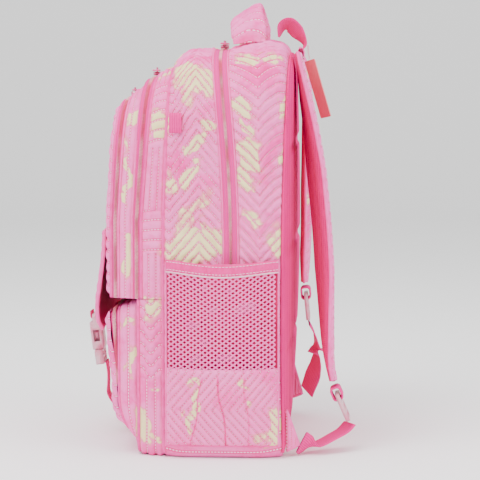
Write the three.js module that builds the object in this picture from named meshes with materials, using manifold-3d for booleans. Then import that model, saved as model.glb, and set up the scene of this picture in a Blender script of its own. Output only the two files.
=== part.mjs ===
// School backpack, modelled as the pieces it is sewn and clipped together from.
// Millimetres. +Z is up, +X is the wearer's right, +Y is the side worn against the back.
// The origin is the centre of the flat underside.

import * as THREE from 'three';
import { mergeVertices } from 'three/addons/utils/BufferGeometryUtils.js';
import Module from 'manifold-3d';

const wasm = await Module();
wasm.setup();

// ---- driving dimensions ----------------------------------------------------------------
const HALF_WIDTH = 150;        // main compartment, seam to seam, halved
const TOP = 431;               // height of the main zip over the top
const SHOULDER = 105;          // height of the rounded part of every arched outline
const SQUARENESS = 3.4;        // exponent of the rounded part: 2 is an ellipse, 4 nearly square
const POCKET_MOUTH = 205;      // side pocket hem, and the foot of the main zip
const ORGANISER_FOOT = 168;    // foot of the middle and front compartments' zips
const QUILT = 5;               // quilted fabric wall
const TAPE = 2;                // zip tape
const LINING = 2;              // inner divider
const GAP = 0.6;               // clearance between neighbouring pieces
const WEBBING = 25;            // webbing width
const WEBBING_THICK = 1.8;
const MAIN_ZIP_HALF = 7.5;     // half the width of the main zip tape pair

// ---- colours ---------------------------------------------------------------------------
function paint(color, roughness, metalness = 0) {
  return new THREE.MeshStandardMaterial({ color, roughness, metalness });
}
const quiltPink = paint(0xf6b4d6, 0.85);
const meshPink = paint(0xe8489c, 0.9);
const webPink = paint(0xe6408f, 0.8);
const netPink = paint(0xf590c4, 0.85);
const zipPink = paint(0xe064af, 0.6);
const liningPink = paint(0xe9a7c6, 0.9);
const boardGrey = paint(0xd9d6d2, 0.7);
const clearPink = paint(0xf7b9d3, 0.25);
const cardPink = paint(0xe18a84, 0.7);
const coatedMetal = paint(0xdf6fb2, 0.35, 0.3);

const pack = new THREE.Group();

function addPiece(name, geometry, material) {
  const mesh = new THREE.Mesh(geometry, material);
  mesh.name = name;
  pack.add(mesh);
  return mesh;
}

// ---- solids from two facing grids of points ----------------------------------------------
function signedVolume(positions, index) {
  const corner = [new THREE.Vector3(), new THREE.Vector3(), new THREE.Vector3()];
  let volume = 0;
  for (let i = 0; i < index.length; i += 3) {
    corner.forEach((point, k) => point.fromArray(positions, 3 * index[i + k]));
    volume += corner[0].dot(corner[1].clone().cross(corner[2])) / 6;
  }
  return volume;
}

// front and back are grids [row][column] of Vector3. wrap joins the last column to the first.
function gridSolid(front, back, wrap = false) {
  const rows = front.length;
  const columns = front[0].length;
  const positions = [];
  for (const grid of [front, back]) {
    for (const row of grid) {
      row.forEach((point) => positions.push(point.x, point.y, point.z));
    }
  }
  const at = (side, row, column) => side * rows * columns + row * columns + (column % columns);
  const index = [];
  const quad = (a, b, c, d) => index.push(a, b, c, a, c, d);
  const lastColumn = wrap ? columns : columns - 1;
  for (let r = 0; r < rows - 1; r++) {
    for (let c = 0; c < lastColumn; c++) {
      quad(at(0, r, c), at(0, r, c + 1), at(0, r + 1, c + 1), at(0, r + 1, c));
      quad(at(1, r, c), at(1, r + 1, c), at(1, r + 1, c + 1), at(1, r, c + 1));
    }
  }
  for (let c = 0; c < lastColumn; c++) {
    quad(at(0, 0, c), at(1, 0, c), at(1, 0, c + 1), at(0, 0, c + 1));
    quad(at(0, rows - 1, c), at(0, rows - 1, c + 1), at(1, rows - 1, c + 1), at(1, rows - 1, c));
  }
  if (!wrap) {
    for (let r = 0; r < rows - 1; r++) {
      quad(at(0, r, 0), at(0, r + 1, 0), at(1, r + 1, 0), at(1, r, 0));
      const c = columns - 1;
      quad(at(0, r, c), at(1, r, c), at(1, r + 1, c), at(0, r + 1, c));
    }
  }
  if (signedVolume(positions, index) < 0) index.reverse();
  const geometry = new THREE.BufferGeometry();
  geometry.setAttribute('position', new THREE.Float32BufferAttribute(positions, 3));
  geometry.setIndex(index);
  geometry.computeVertexNormals();
  return geometry;
}

// ---- outlines in the X-Z plane: lists of [x, z] ------------------------------------------
const ARC_STEPS = 14;

// From the right foot, up the side, over the arched top and down to the left foot.
function arch(halfWidth, top, foot, shoulder = SHOULDER) {
  const spring = top - shoulder;
  const points = [[halfWidth, foot], [halfWidth, (foot + spring) / 2]];
  for (let i = 0; i <= ARC_STEPS; i++) {
    const angle = (Math.PI * i) / ARC_STEPS;
    const across = Math.sign(Math.cos(angle)) * Math.abs(Math.cos(angle)) ** (2 / SQUARENESS);
    const up = Math.abs(Math.sin(angle)) ** (2 / SQUARENESS);
    points.push([halfWidth * across, spring + shoulder * up]);
  }
  points.push([-halfWidth, (foot + spring) / 2], [-halfWidth, foot]);
  return points;
}

// From the right rim, down the side, across the flat bottom and up to the left rim.
function tub(halfWidth, rim, bottom, corner = 14) {
  const chamfer = corner * 0.29;
  const right = [
    [halfWidth, rim],
    [halfWidth, (rim + bottom) / 2],
    [halfWidth, bottom + corner],
    [halfWidth - chamfer, bottom + chamfer],
    [halfWidth - corner, bottom],
  ];
  const left = right.map(([x, z]) => [-x, z]).reverse();
  return [...right, ...left];
}

// A rounded rectangle, anticlockwise, without a repeated end point.
function loop(halfWidth, top, bottom, corner) {
  const chamfer = corner * 0.29;
  const quarter = [[0, corner], [chamfer, chamfer], [corner, 0]];
  const right = [
    ...quarter.map(([dx, dz]) => [halfWidth - dx, bottom + dz]).reverse(),
    ...quarter.map(([dx, dz]) => [halfWidth - dx, top - dz]),
  ];
  const left = right.map(([x, z]) => [-x, z]).reverse();
  return [...right, ...left];
}

// ---- seams: the Y of each seam line at a height ------------------------------------------
const leanAbove = (z, from, slope) => slope * Math.max(0, z - from);
const backSeam = (z) => 63 + 7 * ((z - 150) / 270) ** 2;
const mainZip = (z) => 11 - 15 * (Math.max(0, z - 214) / 217) ** 2;
const piping = (z) => -60 + leanAbove(z, 250, 0.04);
const middleSeam = (z) => -84 + leanAbove(z, 250, 0.08);
const middleZipFront = (z) => -94 + leanAbove(z, 250, 0.06);
const stripSeam = (z) => -109 + leanAbove(z, 250, 0.06);
const frontZipFront = (z) => -116 + leanAbove(z, 250, 0.05);
const sideFoot = () => -88;
const lowerSeam = (z) => -110 + 12 * (Math.max(0, 60 - z) / 36) ** 2;
const lowerZipFront = (z) => lowerSeam(z) - 1.5 - 8 * (Math.max(0, z - 76) / 74);
const offset = (seam, distance) => (z) => seam(z) + distance;
const between = (a, b, share) => (z) => a(z) + (b(z) - a(z)) * share;

// A band of fabric between seams. Each station is { seam, outline, lining }, where outline is
// the outside and lining the inside, both with the same number of points.
function band(stations, wrap = false) {
  const grid = (side) => stations.map((station) => station[side].map(([x, z], i) => {
    const height = station.outline[i][1];
    return new THREE.Vector3(x, station.seam(height), z);
  }));
  return gridSolid(grid('outline'), grid('lining'), wrap);
}

const archStation = (seam, halfWidth, top, foot, wall) => ({
  seam,
  outline: arch(halfWidth, top, foot),
  lining: arch(halfWidth - wall, top - wall, foot, SHOULDER - wall),
});

const tubStation = (seam, halfWidth, rim, bottom, wall) => ({
  seam,
  outline: tub(halfWidth, rim, bottom),
  lining: tub(halfWidth - wall, rim, bottom + wall),
});

// ---- panels: sheets that face front or back, with an arched outline ----------------------
const PANEL_COLUMNS = [-1, -0.8, -0.5, -0.2, 0.2, 0.5, 0.8, 1];

// Rows of { z, halfWidth } from the foot to near the crown of an arch.
function archRows(halfWidth, top, foot, shoulder = SHOULDER) {
  const spring = top - shoulder;
  const rows = [0, 1, 2].map((i) => ({ z: foot + ((spring - foot) * i) / 3, halfWidth }));
  const steps = ARC_STEPS / 2;
  for (let i = 0; i <= steps; i++) {
    const angle = (Math.min(i, steps - 0.35) * Math.PI) / ARC_STEPS;
    rows.push({
      z: spring + shoulder * Math.sin(angle) ** (2 / SQUARENESS),
      halfWidth: halfWidth * Math.cos(angle) ** (2 / SQUARENESS),
    });
  }
  return rows;
}

// crown(u, z) swells the front surface, and back(u, z) the rear one, u running from -1 to 1.
function panel(rows, seam, thickness, crown = () => 0, rearCrown = () => 0) {
  const surface = (shift, swell) => rows.map(({ z, halfWidth }) => PANEL_COLUMNS.map((u) => (
    new THREE.Vector3(u * halfWidth, seam(z) + shift + swell(u, z), z)
  )));
  return gridSolid(surface(0, crown), surface(thickness, rearCrown));
}

const dome = (height, low, high) => (u, z) => {
  const share = (2 * z - low - high) / (high - low);
  return height * (1 - u * u) * Math.max(0, 1 - share * share);
};

// ---- straps: a flat or padded strip along a curve ----------------------------------------
const RIGHT = new THREE.Vector3(1, 0, 0);
const UP = new THREE.Vector3(0, 0, 1);
const across = (tangent) => RIGHT.clone().addScaledVector(tangent, -RIGHT.dot(tangent)).normalize();
const levelAcross = (tangent) => UP.clone().cross(tangent).normalize();

// Webbing that starts flat and is turned on edge between the shares begin and end.
const turning = (startSide, begin, end = 1) => (tangent, share) => {
  const turned = THREE.MathUtils.smoothstep(share, begin, end);
  const side = startSide(tangent).lerp(UP, turned);
  return side.addScaledVector(tangent, -side.dot(tangent)).normalize();
};
// A side turned about the strip's own length: nothing at its ends, the given degrees in between.
const twisted = (degrees, ramp) => (tangent, share) => {
  const ends = Math.min(1, share / ramp, (1 - share) / ramp);
  return across(tangent).applyAxisAngle(tangent, THREE.MathUtils.degToRad(degrees * ends));
};
const FLAT_COLUMNS = [[-1, 1], [1, 1]];
const PADDED_COLUMNS = [[-1, 0.3], [-0.8, 0.8], [-0.35, 1], [0.35, 1], [0.8, 0.8], [1, 0.3]];

function strip(points, steps, width, thickness, sideOf = across, columns = FLAT_COLUMNS) {
  const curve = new THREE.CatmullRomCurve3(points.map((p) => new THREE.Vector3(...p)), false, 'centripetal');
  const faces = [[], []];
  for (let i = 0; i <= steps; i++) {
    const share = i / steps;
    const centre = curve.getPointAt(share);
    const tangent = curve.getTangentAt(share);
    const side = sideOf(tangent, share);
    const normal = side.clone().cross(tangent).normalize();
    [1, -1].forEach((sign, face) => {
      faces[face].push(columns.map(([u, fullness]) => centre.clone()
        .addScaledVector(side, (u * width(share)) / 2)
        .addScaledVector(normal, (sign * fullness * thickness(share)) / 2)));
    });
  }
  return gridSolid(faces[0], faces[1]);
}

const always = (value) => () => value;
const webbingStrip = (points, steps, sideOf) => (
  strip(points, steps, always(WEBBING), always(WEBBING_THICK), sideOf)
);

// ---- moulded pieces ----------------------------------------------------------------------
function box(x, y, z, width, depth, height) {
  return new THREE.BoxGeometry(width, depth, height).translate(x, y, z);
}

function toSolid(geometry) {
  const bare = geometry.clone();
  bare.deleteAttribute('normal');
  bare.deleteAttribute('uv');
  const merged = mergeVertices(bare);
  return new wasm.Manifold(new wasm.Mesh({
    numProp: 3,
    vertProperties: new Float32Array(merged.attributes.position.array),
    triVerts: new Uint32Array(merged.index.array),
  }));
}

function fromSolid(solid) {
  const mesh = solid.getMesh();
  const geometry = new THREE.BufferGeometry();
  geometry.setAttribute('position', new THREE.Float32BufferAttribute(mesh.vertProperties, 3));
  geometry.setIndex(Array.from(mesh.triVerts));
  geometry.computeVertexNormals();
  return geometry;
}

function cut(body, tools) {
  return fromSolid(tools.map(toSolid).reduce((left, tool) => left.subtract(tool), toSolid(body)));
}

function join(pieces) {
  return fromSolid(pieces.map(toSolid).reduce((sum, piece) => sum.add(piece)));
}

function roundedPlate(width, length, thickness, corner) {
  const shape = new THREE.Shape();
  const [w, l] = [width / 2, length / 2];
  shape.moveTo(-w + corner, -l);
  shape.lineTo(w - corner, -l);
  shape.absarc(w - corner, -l + corner, corner, -Math.PI / 2, 0);
  shape.absarc(w - corner, l - corner, corner, 0, Math.PI / 2);
  shape.absarc(-w + corner, l - corner, corner, Math.PI / 2, Math.PI);
  shape.absarc(-w + corner, -l + corner, corner, Math.PI, 1.5 * Math.PI);
  const options = { depth: thickness, bevelEnabled: false, curveSegments: 3 };
  const geometry = new THREE.ExtrudeGeometry(shape, options);
  return geometry.translate(0, 0, -thickness / 2);
}

// Moves a piece drawn with its length along -Y and its face along +Z to origin, so that its
// length runs along the direction (0, along.y, along.z) and its width stays on X.
function lean(geometry, origin, alongY, alongZ) {
  const along = new THREE.Vector3(0, alongY, alongZ).normalize();
  const yAxis = along.clone().negate();
  const zAxis = RIGHT.clone().cross(yAxis);
  const matrix = new THREE.Matrix4().makeBasis(RIGHT, yAxis, zAxis);
  return geometry.applyMatrix4(matrix.setPosition(new THREE.Vector3(...origin)));
}

// A flat plate through three points, with a thickness along its normal.
function triangleSlab(a, b, c, thickness) {
  const corners = [a, b, c].map((p) => new THREE.Vector3(...p));
  const normal = corners[1].clone().sub(corners[0]).cross(corners[2].clone().sub(corners[0])).normalize();
  const shifted = corners.map((p) => p.clone().addScaledVector(normal, thickness));
  const nearTip = (point, tip) => point.clone().lerp(tip, 0.94);
  const rows = ([p, q, tip]) => [[p, q], [nearTip(p, tip), nearTip(q, tip)]];
  return gridSolid(rows(corners), rows(shifted));
}

// ---- main compartment ----------------------------------------------------------------------
function mainCompartment() {
  const zipBack = offset(mainZip, MAIN_ZIP_HALF);
  const zipFront = offset(mainZip, -MAIN_ZIP_HALF);
  const backOf = (share) => between(offset(zipBack, GAP), backSeam, share);
  const frontOf = (share) => between(offset(zipFront, -GAP), piping, share);
  addPiece('back_gusset', band([
    archStation(backOf(1), HALF_WIDTH - 8, TOP - 5, POCKET_MOUTH, QUILT),
    archStation(backOf(0.88), HALF_WIDTH - 3, TOP + 5, POCKET_MOUTH, QUILT),
    archStation(backOf(0.65), HALF_WIDTH, TOP + 9, POCKET_MOUTH, QUILT),
    archStation(backOf(0.3), HALF_WIDTH, TOP + 5, POCKET_MOUTH, QUILT),
    archStation(backOf(0), HALF_WIDTH, TOP, POCKET_MOUTH, QUILT),
  ]), quiltPink);
  const tape = (from, to) => band([
    archStation(offset(mainZip, from), HALF_WIDTH - 1, TOP - 1, POCKET_MOUTH, TAPE),
    archStation(offset(mainZip, to), HALF_WIDTH - 1, TOP - 1, POCKET_MOUTH, TAPE),
  ]);
  addPiece('main_zip_back_tape', tape(MAIN_ZIP_HALF, GAP / 2), zipPink);
  addPiece('main_zip_front_tape', tape(-GAP / 2, -MAIN_ZIP_HALF), zipPink);
  addPiece('front_gusset', band([
    archStation(frontOf(0), HALF_WIDTH, TOP, POCKET_MOUTH, QUILT),
    archStation(frontOf(0.6), HALF_WIDTH, TOP - 1, POCKET_MOUTH, QUILT),
    archStation(frontOf(0.88), HALF_WIDTH - 3, TOP - 8, POCKET_MOUTH, QUILT),
    archStation(frontOf(1), HALF_WIDTH - 8, TOP - 17, POCKET_MOUTH, QUILT),
  ]), quiltPink);
  const rim = POCKET_MOUTH - GAP;
  const depth = (share) => between(backSeam, piping, share);
  addPiece('base_panel', band([
    tubStation(depth(0), HALF_WIDTH - 8, rim, 0, QUILT),
    tubStation(depth(0.08), HALF_WIDTH - 3, rim, 0, QUILT),
    tubStation(depth(0.2), HALF_WIDTH, rim, 0, QUILT),
    tubStation(depth(0.85), HALF_WIDTH, rim, 0, QUILT),
    tubStation(depth(0.95), HALF_WIDTH - 3, rim, 0, QUILT),
    tubStation(depth(1), HALF_WIDTH - 8, rim, 0, QUILT),
  ]), quiltPink);
}

// ---- back panel and the pieces inside the main compartment ---------------------------------
const BACK_EDGE = 3;           // thickness of the back panel at its edges
const BACK_CROWN = 12;         // how far its padding stands out at the middle

function backAndInside() {
  const rows = archRows(HALF_WIDTH - 8, TOP - 5, 6);
  const padding = dome(BACK_CROWN, 6, TOP);
  addPiece('back_panel', panel(rows, offset(backSeam, GAP), BACK_EDGE, undefined, padding), meshPink);
  const inner = HALF_WIDTH - 8 - QUILT - 2;
  addPiece('back_stiffener', panel(archRows(inner, TOP - 14, 20), offset(backSeam, -4), 3), boardGrey);
  const sleeve = [12, 110, 200, 290].map((z) => ({ z, halfWidth: inner - 8 }));
  addPiece('laptop_sleeve', panel(sleeve, offset(backSeam, -26), 4), liningPink);
  addPiece('main_divider', panel(archRows(inner - 1, TOP - 24, 20), offset(piping, 1), LINING), liningPink);
  const boardDepth = backSeam(0) - piping(0) - 34;
  addPiece('base_board', box(0, -1.5, QUILT + 1.6, 2 * inner - 12, boardDepth - 8, 2.4), boardGrey);
}

// ---- middle and front compartments ---------------------------------------------------------
const FRONT_CROWN = 5;         // how far the front panel swells at its middle

function frontCompartments() {
  const foot = ORGANISER_FOOT;
  addPiece('middle_gusset', band([
    archStation(offset(piping, -GAP), HALF_WIDTH - 9, TOP - 19, foot, QUILT),
    archStation(between(piping, middleSeam, 0.5), HALF_WIDTH - 10, TOP - 21, foot, QUILT),
    archStation(middleSeam, HALF_WIDTH - 13, TOP - 26, foot, QUILT),
  ]), quiltPink);
  addPiece('middle_zip', band([
    archStation(offset(middleSeam, -GAP), HALF_WIDTH - 14, TOP - 29, foot, TAPE),
    archStation(middleZipFront, HALF_WIDTH - 16, TOP - 33, foot, TAPE),
  ]), zipPink);
  addPiece('front_strip', band([
    archStation(offset(middleZipFront, -GAP), HALF_WIDTH - 16, TOP - 38, foot, QUILT),
    archStation(between(middleZipFront, stripSeam, 0.5), HALF_WIDTH - 18, TOP - 43, foot, QUILT),
    archStation(stripSeam, HALF_WIDTH - 21, TOP - 47, foot, QUILT),
  ]), quiltPink);
  addPiece('front_zip', band([
    archStation(offset(stripSeam, -GAP), HALF_WIDTH - 22, TOP - 51, foot, TAPE),
    archStation(frontZipFront, HALF_WIDTH - 25, TOP - 55, foot, TAPE),
  ]), zipPink);
  const face = archRows(HALF_WIDTH - 25, TOP - 56, foot);
  const swell = dome(-FRONT_CROWN, foot, TOP - 56);
  addPiece('front_panel', panel(face, offset(frontZipFront, -GAP - QUILT), QUILT, swell, swell), quiltPink);
  const dividerWidth = HALF_WIDTH - 16 - TAPE - 2;
  addPiece('middle_divider', panel(
    archRows(dividerWidth, TOP - 38, ORGANISER_FOOT + 3), offset(middleZipFront, 1), LINING,
  ), liningPink);
  addPiece('lower_side_gusset', band([
    tubStation(offset(piping, -GAP), HALF_WIDTH - 9, foot - GAP, 0, QUILT),
    tubStation(between(piping, sideFoot, 0.6), HALF_WIDTH - 12, foot - GAP, 0.5, QUILT),
    tubStation(sideFoot, HALF_WIDTH - 17, foot - GAP, 3, QUILT),
  ]), quiltPink);
  const backing = [26, 70, 115, foot - 2].map((z) => ({ z, halfWidth: HALF_WIDTH - 26 }));
  addPiece('lower_backing', panel(backing, () => -86.5, LINING), liningPink);
}

// ---- lower front pocket ----------------------------------------------------------------------
const LOWER_TOP = 156;
const LOWER_ZIP_FOOT = 76;

function lowerPocket() {
  const corner = 12;
  const ring = (seam, halfWidth, top, bottom) => ({
    seam,
    outline: loop(halfWidth, top, bottom, corner),
    lining: loop(halfWidth - QUILT, top - QUILT, bottom + QUILT, corner),
  });
  addPiece('lower_gusset', band([
    ring(offset(sideFoot, -GAP), HALF_WIDTH - 19, ORGANISER_FOOT - 2, 4),
    ring(between(sideFoot, lowerSeam, 0.5), HALF_WIDTH - 21, LOWER_TOP + 5, 12),
    ring(lowerSeam, HALF_WIDTH - 25, LOWER_TOP, 25),
  ], true), quiltPink);
  const zipRow = (seam, halfWidth, top) => ({
    seam,
    outline: arch(halfWidth, top, LOWER_ZIP_FOOT, corner),
    lining: arch(halfWidth - TAPE, top - TAPE, LOWER_ZIP_FOOT, corner - TAPE),
  });
  addPiece('lower_zip', band([
    zipRow(offset(lowerSeam, -GAP), HALF_WIDTH - 26, LOWER_TOP - 1),
    zipRow(lowerZipFront, HALF_WIDTH - 28, LOWER_TOP - 5),
  ]), zipPink);
  const rows = [
    [25, -40], [34, -32], [50, -28], [LOWER_ZIP_FOOT, -28], [100, -28], [130, -28], [LOWER_TOP - 9, -29],
    [LOWER_TOP - 5, -34],
  ].map(([z, inset]) => ({ z, halfWidth: HALF_WIDTH + inset }));
  const swell = dome(-4, 25, LOWER_TOP);
  addPiece('lower_front', panel(rows, offset(lowerZipFront, -GAP - QUILT), QUILT, swell, swell), quiltPink);
}

// ---- side pockets: a net, an elastic hem over it and a padded base under it --------------------
const POCKET_BACK = 61;
const POCKET_FRONT = -57;
const POCKET_SWELL = 14;       // how far the net stands off the side at its middle
const NET_FOOT = 96;

function sidePocket(name, sign) {
  const columns = [0, 0.12, 0.3, 0.5, 0.7, 0.88, 1];
  const sheet = (rows, thickness, swell) => {
    const surface = (lift) => rows.map((z) => columns.map((share) => {
      const bulge = swell(z) * Math.sin(Math.PI * share) ** 0.8;
      const y = POCKET_FRONT + (POCKET_BACK - POCKET_FRONT) * share;
      return new THREE.Vector3(sign * (HALF_WIDTH + GAP + bulge + lift), y, z);
    }));
    return gridSolid(surface(0), surface(thickness));
  };
  const opening = (z) => POCKET_SWELL * Math.min(1, Math.max(0, z - 6) / 60);
  const netTop = POCKET_MOUTH - 6;
  addPiece(`net_${name}`, sheet([NET_FOOT, 130, 165, netTop], 1.6, opening), netPink);
  addPiece(`net_hem_${name}`, sheet([netTop + GAP, netTop + 7, netTop + 12], 2.6, opening), webPink);
  addPiece(`pocket_base_${name}`, sheet([14, 30, 60, NET_FOOT - GAP], 3.2, opening), quiltPink);
}

// ---- shoulder straps and their adjusters --------------------------------------------------------
const STRAP_THICK = 13;
const backFaceAt = (x, z) => {
  const u = x / (HALF_WIDTH - 8);
  return backSeam(z) + GAP + BACK_EDGE + dome(BACK_CROWN, 6, TOP)(u, z);
};

// route: the strap's middle line. lockAt and lockAlong: the adjuster's middle and its direction.
const STRAPS = {
  right: {
    route: [
      [60, 80, 421], [68, 85.5, 388], [78, 92.5, 348], [84, 99, 300], [86, 105.5, 235],
      [84, 109, 175], [85, 111.5, 125], [88, 114, 95], [91.5, 118, 75],
    ],
    twist: -15,
    lockAt: [92.5, 128.5, 48],
    lockAlong: [0.4, -0.92],
    webbing: [
      [95, 136.5, 29.5], [99, 129.5, 22.5], [105, 118, 16.5], [113, 104, 10.5], [122, 92, 9], [127.5, 85, 14.5],
    ],
    webbingSide: turning(levelAcross, 0.7),
    wingTip: [129, 82, 12],
  },
  left: {
    route: [
      [-58, 80, 421], [-78, 85.5, 380], [-100, 85.5, 330], [-110, 84.5, 270], [-110, 84.5, 225],
      [-105, 83.5, 190], [-103, 83, 161],
    ],
    twist: 0,
    lockAt: [-103.5, 86.5, 133],
    lockAlong: [0.1, -0.99],
    webbing: [
      [-104, 88.8, 112.5], [-106, 94.5, 101], [-109, 98.5, 80], [-115, 96, 57], [-122, 90, 39], [-127, 86, 27],
    ],
    webbingSide: turning(across, 0.05, 0.5),
    wingTip: [-129, 80, 24],
  },
};
const LOCK_LENGTH = 32;

function ladderLock() {
  const frame = roundedPlate(34, LOCK_LENGTH, 4.5, 4);
  const slot = (y) => box(0, y, 0, WEBBING + 1.5, 5, 12);
  return cut(frame, [slot(10), slot(0), slot(-10)]);
}

// Webbing folded round the lock's upper bar, sewn to the end of the strap.
function lockLoop() {
  const outer = roundedPlate(12, 15, WEBBING, 4);
  const hole = roundedPlate(8.4, 11.4, WEBBING + 4, 2.5);
  return cut(outer, [hole]).rotateY(Math.PI / 2);
}

function carryingGear(name) {
  const { route, twist, lockAt, lockAlong, webbing, webbingSide, wingTip } = STRAPS[name];
  const sign = Math.sign(lockAt[0]);
  const width = (share) => 66 - 8 * share - 26 * Math.max(0, (share - 0.86) / 0.14) ** 2;
  const endTaper = (share) => Math.max(0, 1 - share / 0.12) + Math.max(0, (share - 0.88) / 0.12);
  const thickness = (share) => STRAP_THICK - 4 * endTaper(share);
  const strap = strip(route, 20, width, thickness, twisted(twist, 0.35), PADDED_COLUMNS);
  addPiece(`strap_${name}`, strap, quiltPink);
  addPiece(`ladder_lock_${name}`, lean(ladderLock(), lockAt, ...lockAlong), clearPink);
  const barDistance = 13.5 + 2.2;
  const barAt = [
    lockAt[0],
    lockAt[1] - lockAlong[0] * barDistance,
    lockAt[2] - lockAlong[1] * barDistance,
  ];
  addPiece(`lock_loop_${name}`, lean(lockLoop(), barAt, ...lockAlong), webPink);
  addPiece(`lower_webbing_${name}`, webbingStrip(webbing, 14, webbingSide), webPink);
  const root = sign * (HALF_WIDTH - 14);
  const rear = (z) => backFaceAt(root, z) + 0.6;
  const [low, high] = [wingTip[2] - 5, wingTip[2] + 38];
  const edge = [[root, rear(high), high], [root, rear(low), low]];
  if (sign < 0) edge.reverse();
  addPiece(`wing_${name}`, triangleSlab(...edge, wingTip, 3), quiltPink);
}

// ---- handle, hanging loop and card ------------------------------------------------------------------
const HANDLE_WIDTH = 42;
const HANDLE_THICK = 11;

function topGear() {
  const tilted = () => new THREE.Vector3(0, 0.84, 0.54);
  const arc = [
    [-64, 26, 446], [-58, 24.5, 455], [-38, 22, 466], [0, 21, 470],
    [38, 22, 466], [58, 24.5, 455], [64, 26, 446],
  ];
  const sleeve = strip(arc, 14, always(HANDLE_WIDTH), always(HANDLE_THICK), tilted, PADDED_COLUMNS);
  addPiece('grab_handle', sleeve, quiltPink);
  const hang = [[0, 56, 445], [0, 60, 457], [0, 67, 459], [0, 77, 450], [0, 85, 437], [0, 82.5, 431.5]];
  addPiece('hang_loop', webbingStrip(hang, 12, twisted(-40, 0.4)), webPink);
  const pin = new THREE.CatmullRomCurve3([
    new THREE.Vector3(3, 88.5, 436), new THREE.Vector3(4, 89, 428), new THREE.Vector3(4, 90.3, 421),
  ]);
  const dot = new THREE.Shape();
  dot.absarc(0, 0, 0.6, 0, 2 * Math.PI);
  const pinOptions = { steps: 4, bevelEnabled: false, curveSegments: 4, extrudePath: pin };
  addPiece('tag_pin', new THREE.ExtrudeGeometry(dot, pinOptions), clearPink);
  const card = roundedPlate(34, 66, 0.8, 2).rotateY(0.35);
  addPiece('hang_tag', lean(card, [3, 99.5, 388], 0.28, -0.96), cardPink);
  addPiece('loop_tab', box(HALF_WIDTH + 1.9, -46.5, 354, 2.4, 13, 21), webPink);
}

// ---- flap and buckle ------------------------------------------------------------------------------------
const FLAP_TOP = 238;
const BUCKLE_TOP = [0, -150.5, 136];
const BUCKLE_ALONG = [0.12, -0.99];

// A point on the buckle's middle plane, so far down from its top and so far out from its middle.
function onBuckle(down, out) {
  const [alongY, alongZ] = BUCKLE_ALONG;
  return [0, BUCKLE_TOP[1] + alongY * down + alongZ * out, BUCKLE_TOP[2] + alongZ * down - alongY * out];
}

function flap() {
  const profile = [
    [-129, FLAP_TOP, 113], [-129.5, 222, 114], [-131, 205, 115], [-134, 182, 115], [-137, 160, 114],
    [-137, 143, 109], [-134, 131, 96],
  ];
  const columns = [-1, -0.7, -0.35, 0, 0.35, 0.7, 1];
  const surface = (lift) => profile.map(([y, z, halfWidth]) => columns.map((u) => (
    new THREE.Vector3(u * halfWidth, y + lift - 3 * (1 - u * u), z)
  )));
  addPiece('pocket_flap', gridSolid(surface(0), surface(QUILT)), quiltPink);
  const route = [
    [0, -138.6, 190], [0, -141.8, 165], [0, -143.5, 149], onBuckle(-4, -4), onBuckle(4, -3.6),
    onBuckle(6, 0), onBuckle(4, 3.6), onBuckle(-3, 3.7),
  ];
  addPiece('flap_strap', webbingStrip(route, 16), webPink);
}

// Along the buckle: the socket's bar and slot, its hollow with two side windows, then the plug.
const SOCKET_LENGTH = 40;
const BUCKLE_WIDTH = 33;
const PRONG_ROOT = 39.5;

function buckle() {
  const put = (geometry) => lean(geometry, BUCKLE_TOP, ...BUCKLE_ALONG);
  const block = (width, from, to, thickness, x = 0, z = 0) => (
    box(x, -(from + to) / 2, z, width, to - from, thickness)
  );
  const shell = roundedPlate(BUCKLE_WIDTH, SOCKET_LENGTH, 12, 3).translate(0, -SOCKET_LENGTH / 2, 0);
  addPiece('buckle_socket', put(cut(shell, [
    block(WEBBING + 1.5, 3, 8, 20),
    block(BUCKLE_WIDTH + 2, -1, 9, 6, 0, 5.2),
    block(BUCKLE_WIDTH + 2, -1, 9, 6, 0, -5.2),
    block(27, 12, SOCKET_LENGTH + 1, 7),
    block(BUCKLE_WIDTH + 2, 18, 31, 6.9),
  ])), clearPink);
  const plugTop = SOCKET_LENGTH + 0.4;
  const baseLength = 17;
  const base = roundedPlate(BUCKLE_WIDTH, baseLength, 9, 3).translate(0, -plugTop - baseLength / 2, 0);
  const tongue = block(5, 15, plugTop + 1, 5);
  const slots = [3, 10].map((from) => block(WEBBING + 1.5, plugTop + from, plugTop + from + 4, 20));
  const notches = [1, -1].map((side) => block(6, PRONG_ROOT - 1, plugTop + 1.2, 8, side * 9.5));
  addPiece('buckle_plug', put(cut(join([base, tongue]), [...slots, ...notches])), clearPink);
  [['right', 1], ['left', -1]].forEach(([name, side]) => {
    const arm = block(3.4, 17, PRONG_ROOT + 0.8, 5, side * 9.6);
    const barb = block(4.4, 19, 28, 5, side * 11.2);
    addPiece(`buckle_prong_${name}`, put(join([arm, barb])), clearPink);
  });
  const slack = [
    [0, -137.6, 82], [0, -136, 68], [0, -136, 57], [0, -136, 46], [0, -130, 35], [0, -119, 24], [0, -109, 19],
  ];
  addPiece('front_webbing', webbingStrip(slack, 14), webPink);
}

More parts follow.
